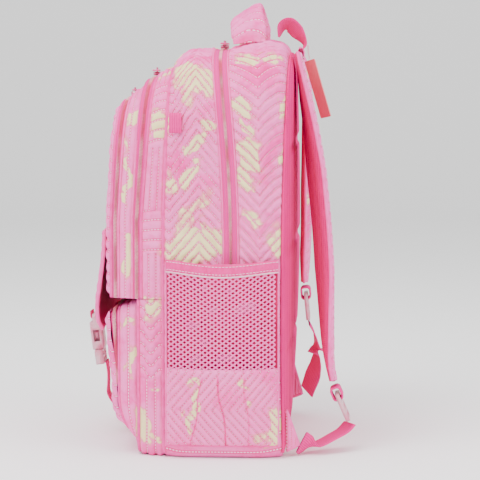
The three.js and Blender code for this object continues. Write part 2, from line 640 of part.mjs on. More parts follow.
// ---- zip sliders and pulls -------------------------------------------------------------------------------
// A slider is drawn with its zip along X and its top up, then turned and moved to its zip.
// direction is the way that its pull lies.
const onTop = (x, top, zip) => ({ at: [x, zip(top), top + SLIDER_LIFT], turn: 0, direction: Math.sign(x) });
const SLIDER_LIFT = 2.4;
const SLIDER_HEIGHT = 4;
const PULL_RISE = 1.6;         // height of the pull's pivot over the slider
const PULL_LENGTH = 22;
const PULL_END = 1;            // from the pull's pivot to its near end
const BAIL_REACH = 3.2;        // from the pull's pivot to each post of the bail
const LOWER_SLIDER_HEIGHT = 112;
const SLIDERS = {
  main_slider_right: onTop(9, TOP - 1, mainZip),
  main_slider_left: onTop(-9, TOP - 1, mainZip),
  middle_slider: onTop(10, TOP - 30.5, between(middleSeam, middleZipFront, 0.5)),
  front_slider: onTop(-10, TOP - 52.5, between(stripSeam, frontZipFront, 0.5)),
  lower_slider: {
    at: [
      -(HALF_WIDTH - 26 + SLIDER_LIFT),
      between(lowerSeam, lowerZipFront, 0.5)(LOWER_SLIDER_HEIGHT),
      LOWER_SLIDER_HEIGHT,
    ],
    turn: -Math.PI / 2,
    direction: -1,
  },
};

function slider(name) {
  const { at, turn, direction } = SLIDERS[name];
  const put = (geometry) => geometry.rotateY(turn).translate(...at);
  const body = roundedPlate(12, 8, SLIDER_HEIGHT, 2.5).translate(0, 0, SLIDER_HEIGHT / 2);
  const bailTop = SLIDER_HEIGHT + PULL_RISE + BAIL_REACH;
  const posts = [-1, 1].map((side) => box(side * BAIL_REACH, 0, bailTop / 2 + 1, 1.2, 1.4, bailTop - 2));
  const bar = box(0, 0, bailTop - 0.6, 2 * BAIL_REACH + 1.2, 1.4, 1.2);
  addPiece(name, put(join([body, ...posts, bar])), coatedMetal);
  const middle = direction * (PULL_LENGTH / 2 - PULL_END);
  const plate = roundedPlate(PULL_LENGTH, 7, 1.6, 1).translate(middle, 0, 0);
  const window = box(direction * (PULL_END + 2.5), 0, 0, 5, 3.4, 6);
  const pull = cut(plate, [window]).translate(0, 0, SLIDER_HEIGHT + PULL_RISE);
  addPiece(`${name}_pull`, put(pull), zipPink);
}

mainCompartment();
backAndInside();
frontCompartments();
lowerPocket();
sidePocket('right', 1);
sidePocket('left', -1);
Object.keys(STRAPS).forEach(carryingGear);
topGear();
flap();
buckle();
Object.keys(SLIDERS).forEach(slider);

export default pack;
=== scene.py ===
"""School backpack: the looks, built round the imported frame. Lengths here are millimetres."""

import math

import bmesh
import bpy
import numpy as np
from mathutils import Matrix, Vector


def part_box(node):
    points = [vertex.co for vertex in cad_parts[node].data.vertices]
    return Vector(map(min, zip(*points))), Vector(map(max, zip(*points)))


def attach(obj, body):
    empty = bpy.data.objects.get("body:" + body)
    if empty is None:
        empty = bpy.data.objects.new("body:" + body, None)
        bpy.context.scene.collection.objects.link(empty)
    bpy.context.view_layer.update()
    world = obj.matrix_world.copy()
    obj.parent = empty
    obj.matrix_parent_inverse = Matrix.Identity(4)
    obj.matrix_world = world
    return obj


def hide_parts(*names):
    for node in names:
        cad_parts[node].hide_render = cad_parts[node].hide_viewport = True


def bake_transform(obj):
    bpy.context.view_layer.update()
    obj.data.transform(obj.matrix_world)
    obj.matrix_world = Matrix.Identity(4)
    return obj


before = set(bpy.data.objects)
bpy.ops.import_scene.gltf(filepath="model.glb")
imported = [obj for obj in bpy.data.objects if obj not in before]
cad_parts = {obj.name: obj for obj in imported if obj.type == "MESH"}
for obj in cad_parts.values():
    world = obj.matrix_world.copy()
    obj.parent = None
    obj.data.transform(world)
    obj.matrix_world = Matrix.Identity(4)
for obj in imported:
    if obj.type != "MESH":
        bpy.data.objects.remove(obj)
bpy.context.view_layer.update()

MM = 0.001


# ---- sizes read from the frame ----
def node_box(node):
    """A CAD node's lowest and highest corners, in millimetres."""
    low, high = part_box(node)
    return np.array(low) / MM, np.array(high) / MM


TOP = node_box("front_gusset")[1][2]
POCKET_MOUTH = node_box("back_gusset")[0][2]
ORGANISER_FOOT = node_box("middle_gusset")[0][2]
HALF_WIDTH = 150        # of the main compartment, at its seams
BACK_HALF = 142         # of the back panel
BACK_TOP = 426
BACK_FOOT = 6
CHAMFER_HALF = 147      # of the main compartment, halfway round its rounded edges
SHOULDER = 105          # height of the rounded part of every arch
SQUARENESS = 3.4        # exponent of that rounding
ZIP_HALF = 7.5          # half the main zip's width
WEBBING = 25            # width of every webbing
STITCH_PITCH = 3.4      # from one stitch to the next
CHANNEL = 11.3          # spacing of the chevron quilting
GAP = 0.6               # between neighbouring solids


# ---- small numeric helpers ----
def smoothstep(low, high, value):
    share = np.clip((value - low) / (high - low), 0, 1)
    return share * share * (3 - 2 * share)


def soft_interp(x, knots, values, soft=0.07):
    """Linear interpolation with its corners rounded over a share `soft` of the range."""
    shifts = np.linspace(-soft, soft, 7)
    return sum(np.interp(np.clip(x + d, 0, 1), knots, values) for d in shifts) / len(shifts)


def triangle_wave(x):
    """0 at whole numbers, 1 halfway between them."""
    return 1 - np.abs(2 * (x - np.floor(x)) - 1)


def ripples(points, size, seed):
    """Smooth noise from about -1 to 1, with features about `size` millimetres across."""
    rng = np.random.default_rng(seed)
    total = 0
    for _ in range(6):
        direction = rng.normal(size=3)
        direction /= np.linalg.norm(direction)
        pitch = 2 * math.pi / size * rng.uniform(0.6, 1.5)
        total = total + np.sin(points @ direction * pitch + rng.uniform(0, 2 * math.pi))
    return total / 3.2


def warped(points, amount, size, seed):
    """Points pushed about by up to about `amount` millimetres."""
    shift = np.stack([ripples(points, size, seed + k) for k in range(3)], axis=-1)
    return points + amount * shift


# ---- seams: the Y of each seam at a height, as the CAD has them ----
def lean_above(z, slope, start=250):
    """How far a seam leans back above the height `start`."""
    return slope * np.maximum(0, z - start)


SEAMS = {
    "back": lambda z: 63 + 7 * ((z - 150) / 270) ** 2,
    "main_zip": lambda z: 11 - 15 * (np.maximum(0, z - 214) / 217) ** 2,
    "piping": lambda z: -60 + lean_above(z, 0.04),
    "middle": lambda z: -84 + lean_above(z, 0.08),
    "middle_zip_front": lambda z: -94 + lean_above(z, 0.06),
    "strip": lambda z: -109 + lean_above(z, 0.06),
    "front_zip_front": lambda z: -116 + lean_above(z, 0.05),
    "side_foot": lambda z: -88 + 0 * z,
    "lower": lambda z: -110 + 12 * (np.maximum(0, 60 - z) / 36) ** 2,
    "lower_zip_front": lambda z: SEAMS["lower"](z) - 1.5 - 8 * (np.maximum(0, z - 76) / 74),
}


def seam(name, shift=0.0):
    """A seam's Y as a function of height, moved back by `shift`."""
    return lambda z: SEAMS[name](z) + shift


def between(a, b, share):
    """A line at a share of the way from seam a to seam b."""
    return lambda z: a(z) + (b(z) - a(z)) * share


# ---- outlines in the X-Z plane ----
def arch_line(half, top, foot, shoulder=SHOULDER):
    """Up one side, over a rounded top and down the other side."""
    angle = np.linspace(0, math.pi, 161)
    across = np.sign(np.cos(angle)) * np.abs(np.cos(angle)) ** (2 / SQUARENESS)
    up = np.abs(np.sin(angle)) ** (2 / SQUARENESS)
    arc = np.column_stack([half * across, top - shoulder + shoulder * up])
    return np.vstack([[half, foot], arc, [-half, foot]])


def corner_arc(cx, cz, radius, start, end, steps=8):
    angle = np.radians(np.linspace(start, end, steps))
    return np.column_stack([cx + radius * np.cos(angle), cz + radius * np.sin(angle)])


def tub_line(half, rim, bottom, corner=14):
    """Down one side, across a flat bottom and up the other side."""
    right = corner_arc(half - corner, bottom + corner, corner, 0, -90)
    left = corner_arc(-half + corner, bottom + corner, corner, -90, -180)
    return np.vstack([[half, rim], right, left, [-half, rim]])


def ring_line(half, top, bottom, corner=12):
    """A closed rounded rectangle that starts and ends at the middle of its top."""
    corners = [
        corner_arc(half - corner, top - corner, corner, 90, 0),
        corner_arc(half - corner, bottom + corner, corner, 0, -90),
        corner_arc(-half + corner, bottom + corner, corner, -90, -180),
        corner_arc(-half + corner, top - corner, corner, 180, 90),
    ]
    return np.vstack([[0, top], *corners, [0, top]])


def reach_of(line):
    """Distance along a line at each of its points."""
    steps = np.linalg.norm(np.diff(line, axis=0), axis=1)
    return np.concatenate([[0], np.cumsum(steps)])


def line_length(line):
    return np.linalg.norm(np.diff(line, axis=0), axis=1).sum()


def spots(line, reach, at):
    """Points of a line at distances along it."""
    return np.stack([np.interp(at, reach, line[:, k]) for k in range(line.shape[1])], axis=-1)


def along(line, share):
    """Points of a line at shares of its length."""
    reach = reach_of(line)
    return spots(line, reach, np.clip(share, 0, 1) * reach[-1])


def unit(vectors):
    return vectors / np.maximum(np.linalg.norm(vectors, axis=-1, keepdims=True), 1e-9)


# ---- meshes from grids of points ----
def make_object(name, vertices, faces, material):
    """A smooth-shaded mesh from vertices in millimetres."""
    name = name.replace(" ", "_")
    mesh = bpy.data.meshes.new(name)
    mesh.from_pydata((np.asarray(vertices) * MM).tolist(), [], faces)
    mesh.validate()
    mesh.materials.append(material)
    mesh.shade_smooth()
    obj = bpy.data.objects.new(name, mesh)
    bpy.context.collection.objects.link(obj)
    return obj


def place(obj, body, replaced=()):
    """Gives a piece its body and hides the nodes it stands for."""
    if body:
        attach(obj, body)
    if replaced:
        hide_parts(*replaced)
    return obj


def quads(index):
    """Four-sided faces between neighbouring entries of a grid of point numbers."""
    corners = [index[:-1, :-1], index[:-1, 1:], index[1:, 1:], index[1:, :-1]]
    return np.stack(corners, axis=-1).reshape(-1, 4).tolist()


def hemmed(points, quilt, inward, depth):
    """The grid with two more rings of points round it, turned in by `depth` along `inward`."""
    hem = [0.35 * depth, depth]
    pad = len(hem)
    width = ((pad, pad), (pad, pad), (0, 0))
    points = np.pad(points, width, mode="edge")
    inward = np.pad(inward, width, mode="edge")
    if quilt is not None:
        quilt = np.pad(quilt, width, mode="edge")
    rows, columns = points.shape[:2]
    r = np.arange(rows)[:, None]
    c = np.arange(columns)[None, :]
    from_ends = np.maximum(pad - r, r - (rows - 1 - pad))
    from_sides = np.maximum(pad - c, c - (columns - 1 - pad))
    ring = np.clip(np.maximum(from_ends, from_sides), 0, pad)
    points = points + inward * np.array([0, *hem])[ring][..., None]
    return points, quilt, ring


def point_values(mesh, name, kind, values):
    layer = mesh.attributes.new(name, kind, "POINT")
    field = "vector" if kind == "FLOAT_VECTOR" else "value"
    layer.data.foreach_set(field, values.astype(np.float32).ravel())


def grid_object(name, points, material, quilt=None, inward=None, depth=3.0, wrap=False, colour=None):
    """A sheet from a grid of points, with its rim turned in by `depth` along `inward`.
    quilt is a grid of (line number, distance along the line) for the stitches."""
    ring = None
    if inward is not None:
        points, quilt, ring = hemmed(points, quilt, inward, depth)
    flat = points.reshape(-1, 3)
    index = np.arange(len(flat)).reshape(points.shape[:2])
    if wrap:
        index = np.column_stack([index, index[:, :1]])
    obj = make_object(name, flat, quads(index), material)
    cream, deep = (colour or marble)(flat)
    stitch = np.zeros((len(flat), 3))
    if quilt is not None:
        stitch[:, :2] = quilt.reshape(-1, 2)
    if ring is not None:
        stitch[:, 2] = ring.reshape(-1) > 0
    point_values(obj.data, "cream", "FLOAT", cream)
    point_values(obj.data, "deep", "FLOAT", deep)
    point_values(obj.data, "stitch", "FLOAT_VECTOR", stitch)
    tidy_mesh(obj.data)
    return obj


def tidy_mesh(mesh):
    """Merges doubled points, drops empty faces and turns the faces out."""
    work = bmesh.new()
    work.from_mesh(mesh)
    bmesh.ops.dissolve_degenerate(work, dist=1e-6, edges=work.edges)
    bmesh.ops.remove_doubles(work, verts=work.verts, dist=2e-6)
    bmesh.ops.recalc_face_normals(work, faces=work.faces)
    work.to_mesh(mesh)
    work.free()
    mesh.shade_smooth()


def tube_grid(path, radius, sides=8, flat=1.0):
    """Rings of points round a path. flat squeezes the section along the second side."""
    path = np.asarray(path, float)
    tangent = unit(np.gradient(path, axis=0))
    guide = np.cross(tangent[0], [0.3, 0.5, 0.81])
    side = np.empty_like(path)
    for i, t in enumerate(tangent):
        guide = guide - t * np.dot(guide, t)
        guide /= np.linalg.norm(guide)
        side[i] = guide
    other = np.cross(tangent, side)
    angle = np.linspace(0, 2 * math.pi, sides, endpoint=False)
    cosine = np.cos(angle)[None, :, None]
    sine = np.sin(angle)[None, :, None]
    return path[:, None] + radius * (side[:, None] * cosine + flat * other[:, None] * sine)


def tubes_object(name, paths, radius, material, sides=8, flat=1.0):
    """One object of many capped tubes."""
    vertices, faces = [], []
    for path in paths:
        grid = tube_grid(path, radius, sides, flat)
        start = sum(len(v) for v in vertices)
        rows = len(grid)
        index = start + np.arange(rows * sides).reshape(rows, sides)
        index = np.column_stack([index, index[:, :1]])
        faces += quads(index)
        faces.append(index[0, :-1][::-1].tolist())
        faces.append(index[-1, :-1].tolist())
        vertices.append(grid.reshape(-1, 3))
    return make_object(name, np.vstack(vertices), faces, material)


# ---- marbled colour ----
# Cream blotches on the bag's right side: middle (y, z), half sizes, turn in degrees and strength.
BLOTCHES = [
    (-24, 400, 24, 13, -14, 1.0), (-13, 351, 11, 4, -40, 0.9), (-26, 331, 17, 5, 48, 0.9),
    (-33, 300, 20, 6, 48, 0.8), (-22, 226, 34, 16, 8, 1.0), (-30, 258, 9, 30, -40, 0.62),
    (-12, 246, 6, 12, 40, 0.6), (-40, 386, 8, 14, 30, 0.7),
    (-52, 292, 5, 15, 0, 0.7), (25, 420, 15, 5, -22, 0.9), (50, 418, 13, 5, 14, 0.8),
    (26, 368, 13, 6, -42, 0.9), (27, 350, 12, 5, -42, 0.8), (30, 318, 11, 19, 14, 1.0),
    (28, 291, 10, 7, -30, 0.9), (31, 257, 12, 6, -38, 0.8), (62, 230, 13, 15, 20, 0.8),
    (66, 370, 5, 9, 0, 0.8), (67, 313, 4, 9, 0, 0.8), (-29, 85, 6, 4, 0, 0.8),
    (-27, 56, 3.5, 24, -14, 1.0), (-34, 38, 4, 12, 20, 0.7), (26, 83, 6, 3, -30, 0.8),
    (29, 63, 6, 4, 20, 0.8), (58, 34, 8, 19, -8, 1.0), (46, 26, 10, 6, 0, 0.6),
    (-72, 161, 11, 9, 0, 0.8), (-68, 78, 6, 4, 0, 0.7), (-84, 32, 8, 18, 12, 1.0),
    (-72, 20, 8, 5, 0, 0.7), (-101, 142, 6, 5, 0, 0.8), (-96, 98, 4, 18, -10, 0.9),
    (-98, 215, 5, 21, 0, 0.9), (-99, 293, 3, 22, 0, 0.9), (-91, 362, 5, 13, -28, 0.9),
    (-65, 352, 11, 13, 0, 1.0), (-78, 148, 9, 5, 0, 0.5), (-104, 330, 3, 14, 0, 0.6),
]


def blotch(points, y, z, half_y, half_z, turn, strength):
    """How cream one blotch makes each point: an ellipse with a wide soft rim."""
    angle = math.radians(turn)
    dy, dz = points[:, 1] - y, points[:, 2] - z
    across = (dy * math.cos(angle) + dz * math.sin(angle)) / half_y
    up = (-dy * math.sin(angle) + dz * math.cos(angle)) / half_z
    return strength * smoothstep(1.75, 0.6, np.hypot(across, up))


def marble(points):
    """(cream, deep) at each point: how far the cloth is cream, and how far it is deep pink."""
    near = warped(warped(points, 4.0, 30, 11), 2.2, 11, 12)
    far = warped(points, 24, 110, 31)
    cream = np.zeros(len(points))
    for spot in BLOTCHES:
        cream = np.maximum(cream, blotch(near, *spot))
    cream *= smoothstep(70, 120, points[:, 0])
    elsewhere = smoothstep(0.42, 0.66, ripples(far, 120, 57)) * smoothstep(110, 80, points[:, 0])
    veins = smoothstep(0.10, 0.03, np.abs(ripples(warped(points, 12, 60, 83), 95, 91)))
    cream = np.maximum(cream, elsewhere)
    cream = np.clip(cream - 0.35 * veins * (cream < 0.9), 0, 1)
    deep = 0.5 + 0.5 * ripples(warped(points, 20, 90, 41), 75, 43)
    deep = np.clip(0.8 * deep + 0.1 * veins, 0, 1) * (1 - cream)
    return cream, deep


# ---- materials ----
def linear(red, green, blue):
    """A colour given in 0-255 sRGB as linear RGBA."""
    def channel(value):
        share = value / 255
        return share / 12.92 if share <= 0.04045 else ((share + 0.055) / 1.055) ** 2.4
    return (channel(red), channel(green), channel(blue), 1)


PINK = linear(250, 72, 168)
DEEP_PINK = linear(236, 28, 134)
PALE_PINK = linear(255, 118, 194)
CREAM = linear(240, 224, 164)
HOT_PINK = linear(238, 0, 132)
HOLE_SHADE_PINK = linear(186, 0, 92)
MAGENTA = linear(238, 26, 142)
NET_PINK = linear(255, 92, 184)
LINING_PINK = linear(196, 60, 120)
CARD = linear(240, 124, 132)
THREAD = linear(253, 214, 234)


class Shader:
    """A principled material and short ways of adding nodes to it."""

    def __init__(self, name, colour, roughness=0.85):
        self.material = bpy.data.materials.new(name)
        self.material.use_nodes = True
        self.material.diffuse_color = colour
        self.tree = self.material.node_tree
        self.surface = self.tree.nodes["Principled BSDF"]
        self.set("Base Color", colour)
        self.set("Roughness", roughness)
        self.set("Specular IOR Level", 0.22)

    def set(self, socket, value):
        self.surface.inputs[socket].default_value = value

    def add(self, kind, **settings):
        node = self.tree.nodes.new(kind)
        for key, value in settings.items():
            setattr(node, key, value)
        return node

    def feed(self, value, socket):
        if isinstance(value, (int, float, tuple)):
            socket.default_value = value
        else:
            self.tree.links.new(value, socket)

    def math(self, operation, a, b=0.0):
        node = self.add("ShaderNodeMath", operation=operation)
        self.feed(a, node.inputs[0])
        self.feed(b, node.inputs[1])
        return node.outputs[0]

    def ramp(self, value, low, high):
        node = self.add("ShaderNodeMapRange", interpolation_type="SMOOTHSTEP")
        self.feed(value, node.inputs["Value"])
        node.inputs["From Min"].default_value = low
        node.inputs["From Max"].default_value = high
        return node.outputs["Result"]

    def mix(self, share, a, b):
        node = self.add("ShaderNodeMix", data_type="RGBA")
        self.feed(share, node.inputs[0])
        self.feed(a, node.inputs[6])
        self.feed(b, node.inputs[7])
        return node.outputs[2]

    def attribute(self, name, part="Fac"):
        return self.add("ShaderNodeAttribute", attribute_name=name).outputs[part]

    def place(self, stretch=(1, 1, 1)):
        """Object coordinates, in millimetres, divided by `stretch`."""
        coordinates = self.add("ShaderNodeTexCoord").outputs["Object"]
        mapping = self.add("ShaderNodeMapping")
        self.feed(coordinates, mapping.inputs["Vector"])
        mapping.inputs["Scale"].default_value = tuple(1 / MM / s for s in stretch)
        return mapping.outputs["Vector"]

    def noise(self, size, detail=2.0, stretch=(1, 1, 1)):
        node = self.add("ShaderNodeTexNoise")
        self.feed(self.place(tuple(size * s for s in stretch)), node.inputs["Vector"])
        node.inputs["Scale"].default_value = 1.0
        node.inputs["Detail"].default_value = detail
        return node.outputs["Fac"]

    def threads(self, size, narrow):
        """Two crossed sets of fine threads."""
        upright = self.noise(size, 1, (1, narrow, 1))
        return self.math("ADD", upright, self.noise(size, 1, (1, 1, narrow)))

    def cells(self, size):
        """Distance to the nearest point of a scattered pattern, `size` millimetres apart."""
        node = self.add("ShaderNodeTexVoronoi")
        self.feed(self.place((size, size, size)), node.inputs["Vector"])
        node.inputs["Scale"].default_value = 1.0
        node.inputs["Randomness"].default_value = 0.15
        return node.outputs["Distance"]

    def bump(self, height, depth, strength=0.6):
        node = self.add("ShaderNodeBump")
        self.feed(height, node.inputs["Height"])
        node.inputs["Distance"].default_value = depth * MM
        node.inputs["Strength"].default_value = strength
        self.feed(node.outputs["Normal"], self.surface.inputs["Normal"])

    def colour(self, value):
        self.feed(value, self.surface.inputs["Base Color"])

    def sheen(self, weight, tint):
        """A faint fuzz on the cloth."""
        self.set("Sheen Weight", weight * 0.3)
        self.set("Sheen Roughness", 0.4)
        self.set("Sheen Tint", tint)

    def axes(self, name):
        """The three parts of a vector attribute."""
        split = self.add("ShaderNodeSeparateXYZ")
        self.feed(self.attribute(name, "Vector"), split.inputs[0])
        return split.outputs


def near_line(shader, phase, width):
    """1 within `width` (a share of the spacing) of each whole number of phase."""
    part = shader.math("FRACT", shader.math("ADD", phase, 0.5))
    away = shader.math("ABSOLUTE", shader.math("SUBTRACT", part, 0.5))
    return shader.math("SUBTRACT", 1.0, shader.ramp(away, width * 0.6, width))


def quilt_material():
    shader = Shader("marbled quilt", PINK, 0.75)
    blur = shader.math("MULTIPLY", shader.math("SUBTRACT", shader.noise(6, 4), 0.5), 0.9)
    cream = shader.ramp(shader.math("ADD", shader.attribute("cream"), blur), 0.3, 0.72)
    deep = shader.math("ADD", shader.attribute("deep"), blur)
    pink = shader.mix(shader.ramp(deep, 0.25, 0.85), PALE_PINK, PINK)
    pink = shader.mix(shader.ramp(deep, 0.75, 1.35), pink, DEEP_PINK)
    cloth = shader.mix(cream, pink, CREAM)
    edge = shader.math("MULTIPLY", cream, shader.math("SUBTRACT", 1.0, cream))
    cloth = shader.mix(shader.math("MULTIPLY", edge, 2.2), cloth, DEEP_PINK)
    stitch = shader.axes("stitch")
    on_line = near_line(shader, stitch[0], 0.05)
    beat = shader.math("FRACT", shader.math("DIVIDE", stitch[1], STITCH_PITCH))
    from_middle = shader.math("ABSOLUTE", shader.math("SUBTRACT", beat, 0.5))
    dash = shader.math("MULTIPLY", on_line, shader.ramp(from_middle, 0.36, 0.26))
    # Painted shade: the cloth darkens to deep pink in the groove along each stitch line.
    groove_shade = shader.math("MULTIPLY", near_line(shader, stitch[0], 0.15), 0.85)
    cloth = shader.mix(groove_shade, cloth, DEEP_PINK)
    cloth = shader.mix(dash, cloth, THREAD)
    shader.colour(cloth)
    threads = shader.threads(0.8, 0.35)
    crumple = shader.math("MULTIPLY", shader.noise(5, 3), 2.2)
    raised = shader.math("MULTIPLY", dash, 0.8)
    height = shader.math("ADD", shader.math("ADD", threads, crumple), raised)
    shader.bump(height, 0.45, 0.5)
    shader.sheen(0.25, PALE_PINK)
    return shader.material


def mesh_material(name, colour, hole_shade_and_tone, size):
    """Knitted air mesh: small holes in a soft cloth, darkened with painted shade."""
    shader = Shader(name, colour, 0.9)
    hole = shader.ramp(shader.cells(size), 0.42, 0.2)
    tone = shader.mix(shader.math("MULTIPLY", shader.noise(28), 0.4), colour, hole_shade_and_tone)
    # Painted shade: the holes are coloured darker than the cloth.
    shader.colour(shader.mix(hole, tone, hole_shade_and_tone))
    shader.bump(shader.math("SUBTRACT", shader.noise(1.2), hole), 0.5)
    shader.set("Specular IOR Level", 0.1)
    shader.sheen(0.15, colour)
    return shader.material


def cloth_material(name, colour, second, size=9.0, roughness=0.9):
    """Plain cloth with a fine crossed weave and a little unevenness in its dye."""
    shader = Shader(name, colour, roughness)
    tone = shader.ramp(shader.noise(size, 4), 0.35, 0.7)
    shader.colour(shader.mix(tone, colour, second))
    shader.bump(shader.threads(0.7, 0.3), 0.35, 0.5)
    shader.sheen(0.3, colour)
    return shader.material


def webbing_material(name, colour, second):
    """Ribbed tape: stitch x runs across the tape and stitch y along it, in millimetres."""
    shader = Shader(name, colour, 0.75)
    across, length, _ = shader.axes("stitch")
    rib = shader.math("SINE", shader.math("MULTIPLY", across, 2 * math.pi / 2.4))
    pick = shader.math("SINE", shader.math("MULTIPLY", length, 2 * math.pi / 1.3))
    weave = shader.math("ADD", rib, shader.math("MULTIPLY", pick, 0.5))
    # Painted shade: the tape darkens to its second colour in the dips of the weave.
    shader.colour(shader.mix(shader.ramp(weave, -2.2, 0.9), second, colour))
    shader.bump(weave, 0.3, 0.55)
    shader.sheen(0.2, colour)
    return shader.material


def coil_material():
    shader = Shader("zip coil", CREAM, 0.4)
    brown = shader.ramp(shader.noise(30, 2), 0.35, 0.65)
    red = shader.ramp(shader.noise(45, 2), 0.45, 0.65)
    colour = shader.mix(brown, linear(246, 176, 186), linear(206, 112, 128))
    shader.colour(shader.mix(red, colour, linear(226, 56, 112)))
    shader.set("Coat Weight", 0.2)
    return shader.material


def plastic_material():
    """Moulded pink plastic that lets some light through."""
    shader = Shader("clear pink plastic", linear(252, 190, 208), 0.28)
    cloud = shader.ramp(shader.noise(14, 3), 0.3, 0.75)
    shader.colour(shader.mix(cloud, linear(252, 206, 218), linear(246, 140, 178)))
    shader.set("Specular IOR Level", 0.5)
    shader.set("Transmission Weight", 0.4)
    shader.set("IOR", 1.49)
    shader.set("Subsurface Weight", 0.15)
    shader.set("Subsurface Radius", (0.004, 0.002, 0.002))
    shader.bump(shader.noise(0.9, 2), 0.06, 0.4)
    return shader.material


def metal_material():
    shader = Shader("painted slider metal", linear(196, 120, 150), 0.34)
    wear = shader.ramp(shader.noise(4, 4), 0.45, 0.7)
    shader.colour(shader.mix(wear, linear(214, 92, 146), linear(176, 150, 158)))
    shader.set("Metallic", 0.65)
    shader.bump(shader.noise(1.4, 3), 0.06, 0.4)
    return shader.material


def rubber_material():
    shader = Shader("pull rubber", linear(238, 92, 160), 0.55)
    shader.colour(shader.mix(shader.ramp(shader.noise(10, 3), 0.4, 0.7),
                             linear(240, 104, 170), linear(226, 72, 146)))
    shader.bump(shader.noise(0.6, 2), 0.08, 0.5)
    return shader.material


def card_material():
    shader = Shader("salmon card", CARD, 0.6)
    fibre = shader.ramp(shader.noise(1.8, 4, (1, 1, 3)), 0.3, 0.75)
    shader.colour(shader.mix(fibre, CARD, linear(232, 146, 138)))
    shader.bump(fibre, 0.08, 0.4)
    return shader.material


def board_material():
    shader = Shader("stiffener board", linear(226, 208, 212), 0.9)
    shader.colour(shader.mix(shader.noise(3, 4), linear(228, 210, 214), linear(206, 182, 188)))
    shader.bump(shader.noise(1.2, 3), 0.15, 0.5)
    return shader.material


QUILT = quilt_material()
# Each mesh's second colour is painted shade in its holes, and a darker tone in places.
AIR_MESH = mesh_material("hot pink air mesh", HOT_PINK, HOLE_SHADE_PINK, 2.1)
FINE_MESH = mesh_material("fine lining mesh", linear(222, 0, 100), linear(192, 0, 84), 1.1)
BINDING = cloth_material("seam binding", linear(250, 104, 182), linear(244, 84, 168))
PIPING = cloth_material("piping", linear(244, 80, 168), linear(234, 56, 148))
LINING = cloth_material("lining", LINING_PINK, linear(176, 44, 104))
NET = cloth_material("net cord", NET_PINK, linear(246, 128, 186), 3.0)
HEM = cloth_material("pocket hem", linear(232, 32, 134), linear(240, 50, 148), 6.0)
SEW = cloth_material("sewing thread", THREAD, linear(250, 190, 222), 2.0)
PALE_EDGE = cloth_material("pale hem edge", linear(240, 190, 206), linear(246, 160, 200), 8.0)
# Each tape's second colour is painted shade in the dips between its ribs.
WEB = webbing_material("pink webbing", linear(240, 34, 146), linear(206, 10, 110))
ZIP_TAPE = webbing_material("ribbed zip tape", MAGENTA, linear(206, 66, 148))
COIL = coil_material()
PLASTIC = plastic_material()
METAL = metal_material()
RUBBER = rubber_material()
CARD_STOCK = card_material()
BOARD = board_material()


# ---- quilted bands ----
class Band:
    """A strip of cloth between two seams. stations are (share across, outline) pairs."""

    def __init__(self, stations, low, high):
        self.shares = np.array([share for share, _ in stations])
        self.lines = [line for _, line in stations]
        self.low = low
        self.high = high
        self.length = line_length(self.lines[len(self.lines) // 2])
        middle_z = np.array([260.0])
        self.width = float(abs(high(middle_z) - low(middle_z))[0])

    def points(self, distance, share):
        """Points at a distance along the strip and a share across it (arrays of one shape)."""
        at = distance / self.length
        x, z = 0, 0
        for k, line in enumerate(self.lines):
            hat = np.zeros(len(self.shares))
            hat[k] = 1
            weight = soft_interp(share, self.shares, hat)
            spot = along(line, at)
            x = x + weight * spot[..., 0]
            z = z + weight * spot[..., 1]
        y = self.low(z) + (self.high(z) - self.low(z)) * share
        return np.stack([x, y, z], axis=-1)


def puff(phase, sharp=1.9):
    """Height across one quilting channel: 0 on the stitch line, 1 in the middle."""
    return 1 - np.abs(2 * (phase - np.floor(phase)) - 1) ** sharp


def band_centre(band, z=200.0):
    y = (band.low(np.array(z)) + band.high(np.array(z))) / 2
    return np.array([0, float(y), z])


def seam_fade(share, width, reach=4.0):
    """0 at a strip's two seams, 1 from `reach` millimetres in."""
    edge = np.minimum(share, 1 - share) * width
    return smoothstep(0, reach, edge)


def quilt_lift(phase, share, width, height, sink):
    """Height of a quilted strip: channels that sink into the seams on both sides."""
    swell = height * puff(phase) * seam_fade(share, width)
    return swell - sink * (1 - seam_fade(share, width, 2.5))


def strip_grid(length, width_steps, length_steps):
    """Distances along a strip and shares across it, for each point of a grid."""
    distance = np.linspace(0, length, length_steps)
    return np.meshgrid(distance, np.linspace(0, 1, width_steps), indexing="ij")


def pillow(points, normal, height, seed=3):
    """Points lifted along their normals, with soft crumples over the stuffing."""
    flat = points.reshape(-1, 3)
    crumple = ripples(warped(flat, 6, 30, seed), 16, seed + 7) * 0.35
    crumple += ripples(flat, 55, seed + 9) * 0.6
    lift = height + crumple.reshape(height.shape) * np.minimum(1, height / 1.5)
    return points + normal * lift[..., None]


def chevron_band(name, band, rise, spacing, height, columns=34, per_channel=9):
    """A quilted strip whose rows of the grid follow its chevron stitch lines."""
    share = np.linspace(0, 1, columns)
    shift = rise(share)
    first = shift.min() / spacing
    last = (band.length + shift.max()) / spacing
    rows = np.arange(math.floor(first) * per_channel, math.ceil(last) * per_channel + 1)
    phase = rows / per_channel
    distance = np.clip(phase[:, None] * spacing - shift[None, :], 0, band.length)
    shares = np.broadcast_to(share, distance.shape)
    points = band.points(distance, shares)
    normal = resampled_normals(band, distance, shares)
    phases = np.broadcast_to(phase[:, None], distance.shape)
    lift = quilt_lift(phases, shares, band.width, height, 0.6)
    run = np.cumsum(np.hypot(np.gradient(share) * band.width, np.gradient(shift)))
    quilt = np.stack([phases, np.broadcast_to(run, distance.shape)], axis=-1)
    return grid_object(name, pillow(points, normal, lift), QUILT, quilt, -normal, 3.0)


